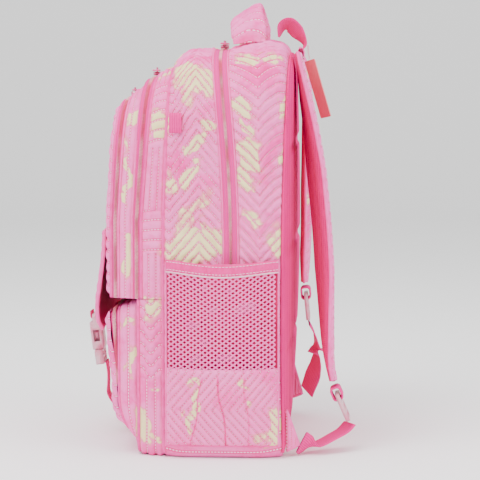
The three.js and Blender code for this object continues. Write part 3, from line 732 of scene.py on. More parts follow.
def resampled_normals(band, distance, share):
    """Normals of the plain strip at scattered places on it, facing out of the bag."""
    step = 0.5
    ahead = band.points(np.minimum(distance + step, band.length), share)
    behind = band.points(np.maximum(distance - step, 0), share)
    one_side = band.points(distance, np.minimum(share + 0.02, 1))
    other_side = band.points(distance, np.maximum(share - 0.02, 0))
    normal = unit(np.cross(ahead - behind, one_side - other_side))
    from_centre = band.points(distance, share) - band_centre(band)
    facing = np.einsum("...k,...k->...", normal, from_centre)
    return normal * (1 if np.median(facing) > 0 else -1)


def ribbed_band(name, band, pattern, height, material=QUILT, fine=1.1, sink=0.6):
    """A quilted strip on a plain fine grid. pattern(distance, share, points) gives each point's
    channel number and its distance along the stitch line."""
    rows = max(8, int(band.length / fine))
    columns = max(8, int(band.width / fine))
    distance, shares = strip_grid(band.length, columns, rows)
    points = band.points(distance, shares)
    normal = resampled_normals(band, distance, shares)
    phase, run = pattern(distance, shares, points)
    lift = quilt_lift(phase, shares, band.width, height, sink)
    quilt = np.stack([phase, run], axis=-1)
    return grid_object(name, pillow(points, normal, lift), material, quilt, -normal, 3.0)


def zigzag(count, rise, start=0.0):
    """Chevron offsets in millimetres for shares across a strip: `count` half waves."""
    return lambda share: rise * triangle_wave((share * count + start) / 2)


def across_lines(spacing, width):
    return lambda distance, share, points: (distance / spacing, share * width)


def lengthwise_lines(count):
    return lambda distance, share, points: (share * count, distance)


def read_values(collection, field, width):
    """A mesh layer's numbers, one row of `width` for each point."""
    values = np.empty(len(collection) * width)
    collection.foreach_get(field, values)
    return values.reshape(-1, width)


def stitched_points(mesh):
    """Numbers of the points on a stitch line or in a hem."""
    phase, _, hem = read_values(mesh.attributes["stitch"].data, "vector", 3).T
    from_line = np.abs(phase - np.round(phase))
    return np.flatnonzero((from_line < 0.1) | (hem > 0)).tolist()


def settle(obj, pressure=4.0, most=1.8, frames=12):
    """Cloth simulation: held on its stitch lines and hems, the cloth swells and creases in between.
    No point ends further than `most` millimetres from where it started."""
    mesh = obj.data
    start = read_values(mesh.vertices, "co", 3)
    group = obj.vertex_groups.new(name="held")
    group.add(stitched_points(mesh), 1.0, "REPLACE")
    cloth = obj.modifiers.new("cloth", "CLOTH")
    settings = cloth.settings
    settings.quality = 5
    settings.vertex_group_mass = "held"
    settings.use_pressure = True
    settings.uniform_pressure_force = pressure
    settings.shrink_min = -0.03
    settings.effector_weights.gravity = 0
    scene = bpy.context.scene
    for number in range(1, frames + 1):
        scene.frame_set(number)
    result = obj.evaluated_get(bpy.context.evaluated_depsgraph_get())
    move = read_values(result.data.vertices, "co", 3) - start
    far = np.linalg.norm(move, axis=1, keepdims=True) / (most * MM)
    move = move / np.maximum(far, 1e-9) * np.tanh(far)
    obj.modifiers.remove(cloth)
    obj.vertex_groups.remove(group)
    scene.frame_set(1)
    mesh.vertices.foreach_set("co", (start + move).ravel())
    mesh.update()
    return obj


# ---- trim: piping, bindings and stitches ----
def seam_path(line, y_of, step=3.0, lift=0.0):
    """A path along an outline at a seam, lifted outwards from the bag's middle."""
    length = line_length(line)
    spot = along(line, np.linspace(0, 1, max(8, int(length / step))))
    x, z = spot[:, 0], spot[:, 1]
    centre = np.array([0, (z.min() + z.max()) / 2])
    tangent = np.gradient(spot, axis=0)
    normal = unit(np.column_stack([tangent[:, 1], -tangent[:, 0]]))
    outer = np.einsum("ij,ij->i", normal, spot - centre)
    normal *= 1 if np.median(outer) > 0 else -1
    return np.column_stack([x + normal[:, 0] * lift, y_of(z), z + normal[:, 1] * lift])


def sewn_cord(name, paths, radius, material, body="bag", flat=1.0):
    """Piping or binding along seams."""
    return place(tubes_object(name, paths, radius, material, 8, flat), body)


def piping(name, line, y_of, radius, lift, material):
    return sewn_cord(name, [seam_path(line, y_of, 3.0, lift)], radius, material)


def dashes(path, length=2.4, gap=1.2):
    """Short stretches of a path, as stitches."""
    path = np.asarray(path)
    reach = reach_of(path)
    starts = np.arange(gap, reach[-1] - length, length + gap)
    return [spots(path, reach, np.linspace(start, start + length, 4)) for start in starts]


def stitches(name, paths, body, radius=0.32):
    pieces = [piece for path in paths for piece in dashes(path)]
    return place(tubes_object(name, pieces, radius, SEW, 5), body)


# ---- the main bag: back and front bands, base ----
def arches(foot, *stations):
    """A band's outlines from (share across it, half width, top) at each."""
    return [(share, arch_line(half, top, foot)) for share, half, top in stations]


def back_gusset():
    lines = arches(POCKET_MOUTH, (0, HALF_WIDTH, TOP), (0.3, HALF_WIDTH, TOP + 5),
                   (0.65, HALF_WIDTH, TOP + 9), (0.88, CHAMFER_HALF, TOP + 5),
                   (1, BACK_HALF, TOP - 5))
    band = Band(lines, seam("main_zip", ZIP_HALF + GAP), SEAMS["back"])
    obj = settle(chevron_band("back gusset quilt", band, zigzag(2, 28), CHANNEL, 2.3))
    place(obj, "bag", ["back_gusset"])


def front_gusset():
    lines = arches(POCKET_MOUTH, (0, HALF_WIDTH, TOP), (0.6, HALF_WIDTH, TOP - 1),
                   (0.88, CHAMFER_HALF, TOP - 8), (1, BACK_HALF, TOP - 17))
    band = Band(lines, seam("main_zip", -ZIP_HALF - GAP), SEAMS["piping"])
    obj = settle(chevron_band("front gusset quilt", band, zigzag(2, -36, 0.2), CHANNEL, 2.3))
    place(obj, "bag", ["front_gusset"])


def base_cover():
    widths = ((0, BACK_HALF), (0.08, CHAMFER_HALF), (0.2, HALF_WIDTH), (0.85, HALF_WIDTH),
              (0.95, CHAMFER_HALF), (1, BACK_HALF))
    lines = [(share, tub_line(half, POCKET_MOUTH - GAP, 0)) for share, half in widths]
    band = Band(lines, SEAMS["back"], SEAMS["piping"])
    obj = ribbed_band("base cover", band, across_lines(18, band.width), 0.7, QUILT, 1.8, 0.4)
    place(obj, "bag", ["base_panel"])


# ---- middle and front compartments ----
def middle_gusset():
    lines = arches(ORGANISER_FOOT, (0, 141, 412), (0.5, 140, 410), (1, 137, 405))
    band = Band(lines, seam("piping", -GAP), SEAMS["middle"])

    def pattern(distance, share, points):
        """Lines that run across the strip in two places and along it elsewhere."""
        z = points[..., 2]
        crosswise = np.maximum(smoothstep(326, 330, z) * smoothstep(396, 390, z),
                               smoothstep(215, 219, z) * smoothstep(264, 260, z))
        crosswise = crosswise > 0.5
        phase = np.where(crosswise, distance / 10.5, share * 3)
        run = np.where(crosswise, share * band.width, distance)
        return phase, run

    obj = ribbed_band("middle gusset quilt", band, pattern, 1.9, QUILT, 0.9)
    place(obj, "bag", ["middle_gusset"])


def front_strip():
    lines = arches(ORGANISER_FOOT, (0, 134, 393), (0.5, 132, 388), (1, 129, 384))
    band = Band(lines, seam("middle_zip_front", -GAP), SEAMS["strip"])
    obj = ribbed_band("front strip quilt", band, lengthwise_lines(2), 1.3, QUILT, 0.9)
    place(obj, "bag", ["front_strip"])


def lower_side_gusset():
    rim = ORGANISER_FOOT - GAP
    lines = [(0, tub_line(141, rim, 0)), (0.6, tub_line(138, rim, 0.5)), (1, tub_line(133, rim, 3))]
    band = Band(lines, seam("piping", -GAP), SEAMS["side_foot"])

    def pattern(distance, share, points):
        """Wavy lines across the upper half, plain lines up and down below them."""
        z = points[..., 2]
        upper = z > 84
        wave = 5 * np.sin(share * 2 * math.pi * 1.3 + 0.6)
        phase = np.where(upper, (distance + wave) / 13, share * 3)
        run = np.where(upper, share * band.width, distance)
        return phase, run

    obj = ribbed_band("lower side quilt", band, pattern, 1.9, QUILT, 0.9)
    place(obj, "bag", ["lower_side_gusset"])


LOWER_FRONT_RING = (125, 156, 25)       # half width, top and bottom of the low pocket's front seam


def lower_gusset():
    lines = [(0, ring_line(131, 166, 4)), (0.5, ring_line(129, 161, 12)),
             (1, ring_line(*LOWER_FRONT_RING))]
    band = Band(lines, seam("side_foot", -GAP), SEAMS["lower"])
    obj = ribbed_band("lower pocket side", band, lengthwise_lines(2), 1.6, QUILT, 1.0)
    place(obj, "bag", ["lower_gusset"])


def panel_grid(rows_z, half_at, y_of, dome, low, high, columns):
    """A domed front panel's grid of points, and the half width of each row."""
    z = np.asarray(rows_z, float)[:, None]
    u = np.linspace(-1, 1, columns)[None, :]
    half = half_at(z)
    up = 2 * (z - low) / (high - low) - 1
    swell = dome * (1 - u ** 2) * (1 - np.clip(up, -1, 1) ** 2)
    x = half * u
    y = y_of(z) + swell + 0 * u
    return np.stack([x, y, z + 0 * u], axis=-1), half


def arch_half(half, top, shoulder=SHOULDER):
    """Half width of an arch at a height."""
    def at(z):
        up = np.clip((z - (top - shoulder)) / shoulder, 0, 1)
        return half * (1 - up ** SQUARENESS) ** (1 / SQUARENESS)
    return at


def quilted_panel(name, node, rows, half_at, y_of, dome, spacing, height, waves, body="bag"):
    """A front panel quilted in chevrons. rows is its lowest and highest z."""
    low, high = rows
    crown = high - 12 * np.linspace(0, 1, 22) ** 2
    z = np.concatenate([np.arange(low, high - 12, 1.25), crown])
    z = np.unique(np.clip(z, low, high - 0.05))
    grid, half = panel_grid(z, half_at, y_of, dome, low, high, 170)
    x = grid[..., 0]
    phase = (grid[..., 2] + 12 * triangle_wave(x * waves / 240 + 0.5)) / spacing
    edge = np.minimum(half - np.abs(x), np.minimum(grid[..., 2] - low, high - grid[..., 2]))
    normal = np.zeros_like(grid)
    normal[..., 1] = -1
    lift = height * puff(phase) * smoothstep(0, 5, edge) + 3.5 * smoothstep(0, 9, edge) - 3.5
    quilt = np.stack([phase, x * 1.3], axis=-1)
    obj = grid_object(name, pillow(grid, normal, lift), QUILT, quilt, -normal, 2.0)
    return place(obj, body, [node])


def front_panels():
    quilted_panel("front panel quilt", "front_panel", (ORGANISER_FOOT, 374), arch_half(125, 375),
                  seam("front_zip_front", -GAP - 5), -4, 12, 2.2, 6)
    knots = [25, 34, 50, 100, 130, 147, 156]
    halves = [110, 118, 122, 122, 122, 121, 116]
    quilted_panel("lower front quilt", "lower_front", (25, 151), lambda z: np.interp(z, knots, halves),
                  seam("lower_zip_front", -GAP - 5), -3, 12, 2.0, 6)


# ---- zips ----
def ribbed_tape(name, stations, low, high, node=None, lift=0.9):
    """One zip tape: fine ribs across it and a raised cord along each edge."""
    band = Band(stations, low, high)
    distance, share = strip_grid(band.length, 12, int(band.length / 0.62))
    points = band.points(distance, share)
    normal = resampled_normals(band, distance, share)
    ribs = 0.22 * np.cos(share * 2 * math.pi * 3)
    edge = 0.45 * smoothstep(0.18, 0.05, np.minimum(share, 1 - share))
    puckers = 0.35 * ripples(points.reshape(-1, 3), 13, 5).reshape(share.shape)
    height = lift + ribs + edge + puckers * np.sin(math.pi * share)
    quilt = np.stack([share * band.width, distance], axis=-1)
    obj = grid_object(name, points + normal * height[..., None], ZIP_TAPE, quilt, -normal, 1.8)
    return place(obj, "bag", [node] if node else ())


def coil(name, line, y_of, lift, pitch=1.45, width=1.5, thick=0.85):
    """A nylon coil that winds along a zip's middle."""
    path = seam_path(line, y_of, 1.0, 0)
    reach = reach_of(path)
    steps = 9
    turns = int(reach[-1] / pitch)
    at = np.linspace(0, reach[-1], turns * steps)
    spine = spots(path, reach, at)
    outer = seam_path(line, y_of, 1.0, 1.0) - path
    normal = spots(outer, reach, at)
    angle = np.arange(len(at)) * 2 * math.pi / steps
    side = np.array([0, 1, 0])
    winding = spine + normal * (lift + thick * np.sin(angle))[:, None]
    winding = winding + side * (width * np.cos(angle))[:, None]
    obj = tubes_object(name, [winding], 0.42, COIL, 4)
    return place(obj, "bag")


def main_zip():
    """Two ribbed tapes with a coil between them."""
    line = arch_line(HALF_WIDTH - 1, TOP - 1, POCKET_MOUTH)
    for label, sign in (("back", 1), ("front", -1)):
        ribbed_tape(f"main zip {label} tape", [(0, line), (1, line)], seam("main_zip", sign * 0.8),
                    seam("main_zip", sign * ZIP_HALF), f"main_zip_{label}_tape")
    coil("main zip coil", line, SEAMS["main_zip"], 1.5)


def narrow_zip(name, node, outer, inner, low, high):
    """A zip narrow enough for its two tapes to share one solid. outer and inner are outlines."""
    middle = between(low, high, 0.5)
    half_way = 0.5 * (outer + inner)
    rear, front = between(low, high, 0.46), between(low, high, 0.54)
    ribbed_tape(name + " back tape", [(0, outer), (1, half_way)], low, rear, node)
    ribbed_tape(name + " front tape", [(0, half_way), (1, inner)], front, high)
    coil(name + " coil", half_way, middle, 1.5, 1.45, 1.7)


def lower_zip_line(half, top):
    """The lower pocket's zip: up one side, over the top and down the other."""
    right = corner_arc(half - 12, top - 12, 12, 0, 90, 12)
    left = corner_arc(-half + 12, top - 12, 12, 90, 180, 12)
    return np.vstack([[half, 76], right, left, [-half, 76]])


def small_zips():
    narrow_zip("middle zip", "middle_zip", arch_line(136, 402, ORGANISER_FOOT),
               arch_line(134, 398, ORGANISER_FOOT), seam("middle", -GAP), SEAMS["middle_zip_front"])
    narrow_zip("front zip", "front_zip", arch_line(128, 380, ORGANISER_FOOT),
               arch_line(125, 376, ORGANISER_FOOT), seam("strip", -GAP), SEAMS["front_zip_front"])
    narrow_zip("lower zip", "lower_zip", lower_zip_line(124, 155), lower_zip_line(122, 151),
               seam("lower", -GAP), SEAMS["lower_zip_front"])


# ---- curves for straps and webbing ----
def smooth_path(points, step=1.2):
    """A centripetal Catmull-Rom curve through points, at even steps."""
    knots = np.asarray(points, float)
    ends = np.vstack([2 * knots[0] - knots[1], knots, 2 * knots[-1] - knots[-2]])
    pieces = []
    for k in range(len(knots) - 1):
        p = ends[k:k + 4]
        t = np.concatenate([[0], np.cumsum(np.linalg.norm(np.diff(p, axis=0), axis=1) ** 0.5)])
        is_last = k == len(knots) - 2
        at = np.linspace(t[1], t[2], 40, endpoint=is_last)[:, None]

        def blend_points(a, b, ta, tb):
            return ((tb - at) * a + (at - ta) * b) / (tb - ta)

        first = [blend_points(p[i], p[i + 1], t[i], t[i + 1]) for i in range(3)]
        second = [blend_points(first[i], first[i + 1], t[i], t[i + 2]) for i in range(2)]
        pieces.append(blend_points(second[0], second[1], t[1], t[2]))
    dense = np.vstack(pieces)
    reach = reach_of(dense)
    return spots(dense, reach, np.linspace(0, reach[-1], max(6, int(reach[-1] / step))))


def frames(path, side_of):
    """Side and normal vectors along a path."""
    tangent = unit(np.gradient(path, axis=0))
    side = side_of(tangent)
    side = unit(side - tangent * np.einsum("ij,ij->i", side, tangent)[:, None])
    return tangent, side, np.cross(side, tangent)


def across_x(tangent):
    return np.broadcast_to([1.0, 0, 0], tangent.shape)


def along_y(tangent):
    return np.broadcast_to([0, 1.0, 0], tangent.shape)


def level(tangent):
    return unit(np.cross([0, 0, 1.0], tangent))


def turned_up(start, begin, end):
    """A side that starts as `start` and turns upright between the shares begin and end."""
    def side_of(tangent):
        share = np.linspace(0, 1, len(tangent))
        turn = smoothstep(begin, end, share)[:, None]
        return start(tangent) * (1 - turn) + np.array([0, 0, 1.0]) * turn
    return side_of


def twisted(degrees, ramp):
    """A side across the bag, turned about the strip's own length everywhere but at its ends."""
    def side_of(tangent):
        share = np.linspace(0, 1, len(tangent))
        angle = np.radians(degrees * np.clip(np.minimum(share, 1 - share) / ramp, 0, 1))[:, None]
        side = across_x(tangent)
        side = unit(side - tangent * np.einsum("ij,ij->i", side, tangent)[:, None])
        return side * np.cos(angle) + np.cross(tangent, side) * np.sin(angle)
    return side_of


def ribbon(name, route, width, thick, side_of, material=None, wave=0.25):
    """Flat webbing: a closed strip with rounded edges and a slight ripple."""
    path = smooth_path(route, 1.4)
    _, side, normal = frames(path, side_of)
    share = np.concatenate([np.linspace(-1, 1, 13), np.linspace(1, -1, 13)])
    face = np.concatenate([np.ones(13), -np.ones(13)])
    edge = np.where(np.abs(share) > 0.99, 0.25, np.where(np.abs(share) > 0.8, 0.9, 1.0))
    reach = np.linspace(0, len(path) * 1.4, len(path))
    ripple = wave * np.sin(reach / 9)[:, None] * share[None, :]
    offset = side[:, None] * (share * width / 2)[None, :, None]
    lift = normal[:, None] * ((face * edge * thick / 2)[None, :, None] + ripple[..., None])
    points = path[:, None] + offset + lift
    coords = np.stack(np.broadcast_arrays((share * width / 2)[None, :], reach[:, None]), axis=-1)
    return grid_object(name, points, material or WEB, coords, wrap=True, colour=no_marble)


def no_marble(points):
    return np.zeros(len(points)), np.zeros(len(points))


# ---- shoulder straps ----
STRAPS = {
    "right": {
        "route": [(60, 80, 421), (68, 85.5, 388), (78, 92.5, 348), (84, 99, 300), (86, 105.5, 235),
                  (84, 109, 175), (85, 111.5, 125), (88, 114, 95), (91.5, 118, 75)],
        "twist": -15,
        "webbing": [(95, 136.5, 29.5), (99, 129.5, 22.5), (105, 118, 16.5), (113, 104, 10.5),
                    (122, 92, 9), (127.5, 85, 14.5)],
        "side": turned_up(level, 0.7, 1),
    },
    "left": {
        "route": [(-58, 80, 421), (-78, 85.5, 380), (-100, 85.5, 330), (-110, 84.5, 270),
                  (-110, 84.5, 225), (-105, 83.5, 190), (-103, 83, 161)],
        "twist": 0,
        "webbing": [(-104, 88.8, 112.5), (-106, 94.5, 101), (-109, 98.5, 80), (-115, 96, 57),
                    (-122, 90, 39), (-127, 86, 27)],
        "side": turned_up(across_x, 0.05, 0.5),
    },
}


def strap_sections(parts):
    """A strap's middle line with its side, normal, share of length, width and thickness."""
    path = smooth_path(parts["route"], 1.1)
    _, side, normal = frames(path, twisted(parts["twist"], 0.35))
    share = np.linspace(0, 1, len(path))
    width = 66 - 8 * share - 26 * np.maximum(0, (share - 0.86) / 0.14) ** 2
    thick = 13 - 4 * (np.maximum(0, 1 - share / 0.12) + np.maximum(0, (share - 0.88) / 0.12))
    return path, side, normal, share, width - 2.5, thick - 1.2


def away_from_bag(normal):
    """The sign that turns a strap's normals to the rear."""
    return 1 if np.median(normal[:, 1]) > 0 else -1


def strap_half(parts, outer, columns=64):
    """One face of a padded strap, as a grid of points and its normals and stitch coordinates."""
    path, side, normal, share, width, thick = strap_sections(parts)
    normal = normal * away_from_bag(normal) * (1 if outer else -1)
    u = np.linspace(-1, 1, columns)
    round_edge = np.clip(1 - np.abs(u) ** 5, 0, 1) ** 0.5
    reach = share * line_length(path)
    if outer:
        wave = 13 * triangle_wave(u / 2 + 0.5)
        phase = (reach[:, None] + wave[None, :]) / CHANNEL
        relief = 1.5 * puff(phase) * smoothstep(0, 0.16, 1 - np.abs(u))[None, :]
        run = u[None, :] * 40 + 0 * phase
    else:
        phase = np.broadcast_to(u * 1.5 + 0.5, (len(path), columns))
        relief = 0.9 * puff(phase) * smoothstep(0, 0.2, 1 - np.abs(u))[None, :]
        run = reach[:, None] + 0 * phase
    points = path[:, None] + side[:, None] * (u * 0.5)[None, :, None] * width[:, None, None]
    swell = ((thick / 2 - 0.9)[:, None] + relief) * round_edge[None, :]
    points = points + normal[:, None] * swell[..., None]
    return points, np.broadcast_to(normal[:, None], points.shape), np.stack([phase, run], axis=-1)


def strap_edges(parts, inset=0.0):
    """The strap's two long edges, or lines that far out from them."""
    path, side, _, _, width, _ = strap_sections(parts)
    half = (width / 2 + inset)[:, None]
    return [path + side * half, path - side * half]


def shoulder_strap(name):
    body = f"strap_{name}"
    parts = STRAPS[name]
    points, normal, quilt = strap_half(parts, True)
    outer = grid_object(f"strap {name} outer cloth", points, QUILT, quilt, -normal, 0.8)
    settle(outer)
    place(outer, body, [body])
    points, normal, quilt = strap_half(parts, False)
    inner = grid_object(f"strap {name} mesh lining", points, AIR_MESH, quilt, -normal, 0.8)
    place(inner, body, ())
    sewn_cord(f"strap {name} binding", strap_edges(parts), 2.3, BINDING, body, 0.75)
    _, _, normal, _, _, thick = strap_sections(parts)
    raised = normal * away_from_bag(normal) * (thick[:, None] / 2 - 0.6)
    rows = [edge + raised for edge in strap_edges(parts, -4.5)]
    stitches(f"strap {name} stitches", rows, body)


def follow(obj, start, end):
    """Bakes the piece's placing into its mesh; start and end, two points in millimetres, are not used.
    """
    start, end = (tuple(np.array(point) * MM) for point in (start, end))
    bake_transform(obj)


def carrying_webbing(name):
    parts = STRAPS[name]
    web = ribbon(f"lower webbing {name}", parts["webbing"], WEBBING, 1.9, parts["side"])
    place(web, None, [f"lower_webbing_{name}"])
    follow(web, parts["webbing"][0], parts["webbing"][-1])


# ---- grab handle, hanging loop and card ----
HANDLE_ARC = [(-66, 26.5, 438), (-64, 26, 446), (-58, 24.5, 455), (-38, 22, 466), (0, 21, 470),
              (38, 22, 466), (58, 24.5, 455), (64, 26, 446), (66, 26.5, 438)]


def squared(wave, exponent=2.6):
    """A sine or cosine changed so that the section is a rounded rectangle."""
    return np.sign(wave) * np.abs(wave) ** (2 / exponent)


def grab_handle():
    path = smooth_path(HANDLE_ARC, 1.0)
    _, side, normal = frames(path, lambda tangent: np.broadcast_to([0, 0.84, 0.54], tangent.shape))
    share = np.linspace(0, 1, len(path))
    reach = share * line_length(path)
    angle = np.linspace(0, 2 * math.pi, 72, endpoint=False)
    ends = smoothstep(0.09, 0, np.minimum(share, 1 - share))
    wide = 20 * (1 - 0.12 * ends)
    thick = 4.2 * (1 - 0.7 * ends)
    cosine, sine = squared(np.cos(angle)), squared(np.sin(angle))
    phase = (reach[:, None] + 9 * triangle_wave(angle / math.pi)[None, :]) / CHANNEL
    relief = 1.5 * puff(phase) * smoothstep(0, 0.05, np.minimum(share, 1 - share))[:, None]
    points = path[:, None] + side[:, None] * (cosine[None, :] * wide[:, None])[..., None]
    points = points + normal[:, None] * (sine[None, :] * (thick[:, None] + relief))[..., None]
    quilt = np.stack([phase, angle[None, :] * 14 + 0 * phase], axis=-1)
    obj = grid_object("grab handle sleeve", points, QUILT, quilt, wrap=True)
    settle(obj)
    place(obj, None, ["grab_handle"])
    follow(obj, (0, 26.5, 442), (0, 24, 457))


def top_gear():
    grab_handle()
    hang = [(0, 56, 445), (0, 60, 457), (0, 67, 459), (0, 77, 450), (0, 85, 437), (0, 82.5, 431.5)]
    loop = ribbon("hanging loop", hang, WEBBING, 1.8, twisted(-40, 0.4))
    place(loop, "hang_loop", ["hang_loop"])
    refinish("hang_tag", CARD_STOCK)
    refinish("tag_pin", PLASTIC)


def refinish(node, material):
    """Gives a CAD node that keeps its own shape this script's material."""
    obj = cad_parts[node]
    for slot in obj.material_slots:
        slot.material = material


# ---- front flap ----
FLAP_TOP, FLAP_FOOT = 238, 131
# The flap from its sewn edge down: y, z and half width.
FLAP_PROFILE = [(-129, FLAP_TOP, 113), (-129.5, 222, 114), (-131, 205, 115), (-134, 182, 115),
                (-137, 160, 114), (-137, 143, 109), (-134, FLAP_FOOT, 96)]


def flap_sheet(lift, columns=150):
    """The flap's surface, `lift` behind its outer face and slightly domed."""
    profile = smooth_path(FLAP_PROFILE, 1.2)
    u = np.linspace(-1, 1, columns)
    y = profile[:, 0][:, None] + lift - 3 * (1 - u ** 2)[None, :]
    x = profile[:, 2][:, None] * u[None, :]
    z = profile[:, 1][:, None] + 0 * x
    return np.stack([x, y, z], axis=-1)


def flap():
    outer = flap_sheet(1.8)
    x, z = outer[..., 0], outer[..., 2]
    half = np.abs(outer[:, -1, 0])[:, None]
    edge = np.minimum(half - np.abs(x), np.minimum(z - FLAP_FOOT, FLAP_TOP - z + 3))
    phase = (z + 13 * triangle_wave(x * 3 / 115 + 0.5)) / CHANNEL
    normal = np.zeros_like(outer)
    normal[..., 1] = -1
    fade = smoothstep(0, 7, edge)
    quilt = np.stack([phase, x * 1.3], axis=-1)
    padded = pillow(outer, normal, 1.8 * puff(phase) * fade)
    cloth = grid_object("flap quilt", padded, QUILT, quilt, -normal, 2.2)
    settle(cloth, most=1.2)
    place(cloth, "flap", ["pocket_flap"])
    inner = flap_sheet(4.2, 60)
    lining = grid_object("flap lining", inner, QUILT, None, normal[:, :60], 1.0, colour=cream_all)
    place(lining, "flap", ())
    rim = np.vstack([outer[:, 0], outer[-1, 1:-1], outer[::-1, -1]]) + np.array([0, 1.0, 0])
    sewn_cord("flap binding", [rim], 2.3, BINDING, "flap")
    seams = [outer[2:-4, column] - np.array([0, 1.4, 0]) for column in (5, -6)]
    stitches("flap stitches", seams, "flap")


def cream_all(points):
    return np.full(len(points), 0.75), np.full(len(points), 0.1)


BUCKLE_TOP = np.array([0, -150.5, 136])
BUCKLE_DOWN = np.array([0, 0.12, -0.99])


def on_buckle(down, out):
    """A point on the buckle's middle plane, `down` from its top and `out` from its middle."""
    forward = np.array([0, -0.99, -0.12])
    return tuple(BUCKLE_TOP + BUCKLE_DOWN * down + forward * out)


def flap_webbing():
    route = [(0, -138.6, 190), (0, -141.8, 165), (0, -143.5, 149), on_buckle(-4, -4),
             on_buckle(4, -3.6), on_buckle(6, 0), on_buckle(4, 3.6), on_buckle(-3, 3.7)]
    strap = ribbon("flap webbing", route, WEBBING, 1.8, across_x)
    place(strap, "flap", ["flap_strap"])
    route = [(0, -137.6, 82), (0, -136, 68), (0, -136, 57), (0, -136, 46), (0, -130, 35), (0, -119, 24),
             (0, -109, 19)]
    front = ribbon("front webbing", route, WEBBING, 1.8, across_x)
    place(front, None, ["front_webbing"])
    follow(front, route[0], route[-1])


# ---- side pockets ----
POCKET_FRONT, POCKET_REAR = -57, 61
POCKET_WIDTH = POCKET_REAR - POCKET_FRONT
POCKET_FOOT = 14.5
POCKET_BASE_TOP = 97
HEM_FOOT = 198.5
HEM_HEIGHT = 12.5


def pocket_points(sign, share, z, lift):
    """Points on a side pocket: share runs from its front edge to its rear edge."""
    bulge = 14 * np.clip((z - 6) / 60, 0, 1) * np.sin(math.pi * np.clip(share, 0, 1)) ** 0.8
    x = sign * (HALF_WIDTH + GAP + bulge + lift)
    y = POCKET_FRONT + POCKET_WIDTH * share
    return np.stack(np.broadcast_arrays(x, y, z), axis=-1)


def sag(share):
    """How far the pocket's hem hangs below its ends."""
    return 4.5 * np.sin(math.pi * share) ** 1.5


def net_threads(sign):
    """Knotted threads: neighbours meet and part again, which leaves staggered diamonds."""
    pitch, rise = 7.3, 2.55
    count = int(POCKET_WIDTH / (pitch / 2))
    z = np.arange(POCKET_BASE_TOP - 3, HEM_FOOT + 2.1, 0.64)
    paths = []
    for k in range(1, count):
        swing = triangle_wave(z / (2 * rise) + 0.5 * (k % 2)) - 0.5
        y_share = (k * pitch / 2 + swing * (pitch / 2 - 0.5)) / POCKET_WIDTH
        lowered = z - sag(y_share) * smoothstep(120, 200, z)
        lift = 0.8 + 0.3 * (-1) ** k * np.sin(math.pi * z / rise)
        paths.append(pocket_points(sign, y_share, lowered, lift))
    return paths


def pocket_net(name, sign):
    net = tubes_object(f"net {name}", net_threads(sign), 0.95, NET, 6)
    place(net, "bag", [f"net_{name}"])
    z = np.linspace(93, 203, 40)[:, None]
    share = np.linspace(0, 1, 50)[None, :]
    x = sign * (HALF_WIDTH + 0.9) + 0 * z * share
    y = POCKET_FRONT + POCKET_WIDTH * share + 0 * z
    wall = np.stack([x, y, z + 0 * share], axis=-1)
    wall[..., 0] += sign * 0.5 * ripples(wall.reshape(-1, 3), 30, 61).reshape(x.shape)
    place(grid_object(f"side wall {name}", wall, FINE_MESH, colour=no_marble), "bag")


def pocket_hem(name, sign):
    """A padded hem with two rows of stitches, which sags in the middle."""
    share = np.linspace(0, 1, 190)[None, :]
    up = np.linspace(0, 1, 18)[:, None]
    z = HEM_FOOT + HEM_HEIGHT * up - sag(share)
    pleat = 0.35 * np.sin(share * 2 * math.pi * 21)
    lift = 0.6 + 2.0 * np.sin(math.pi * up) ** 0.6 + pleat * np.sin(math.pi * up)
    points = pocket_points(sign, share + 0 * up, z, lift)
    inward = np.zeros_like(points)
    inward[..., 0] = -sign
    quilt = np.stack([up * 2 + 0 * share, share * POCKET_WIDTH + 0 * up], axis=-1)
    obj = grid_object(f"pocket hem {name}", points, HEM, quilt, inward, 1.6, colour=no_marble)
    place(obj, "bag", [f"net_hem_{name}"])
    levels = [HEM_FOOT + HEM_HEIGHT * at - sag(share[0]) for at in (0.22, 0.86)]
    rows = [pocket_points(sign, share[0], level_z, 2.3) for level_z in levels]
    stitches(f"hem stitches {name}", rows, "bag")
    edge = pocket_points(sign, share[0], 198.4 - sag(share[0]), 1.8)
    sewn_cord(f"hem edge {name}", [edge], 0.8, PALE_EDGE)


# Folds of the pocket's base: y at its top, y at its bottom, depth.
PLEATS = [(-3, 7, 1.0), (-17, -30, 0.7), (25, 31, 0.6)]


def pleat_depth(y, z):
    """How deep the base panel is folded at a place."""
    depth = 0
    for top_y, low_y, amount in PLEATS:
        middle = top_y + (low_y - top_y) * (POCKET_BASE_TOP - 2 - z) / 78
        away = y - middle + 1.2 * np.sin(z / 9)
        depth = depth + amount * np.exp(-(away / 1.1) ** 2) * smoothstep(96, 84, z)
    return depth


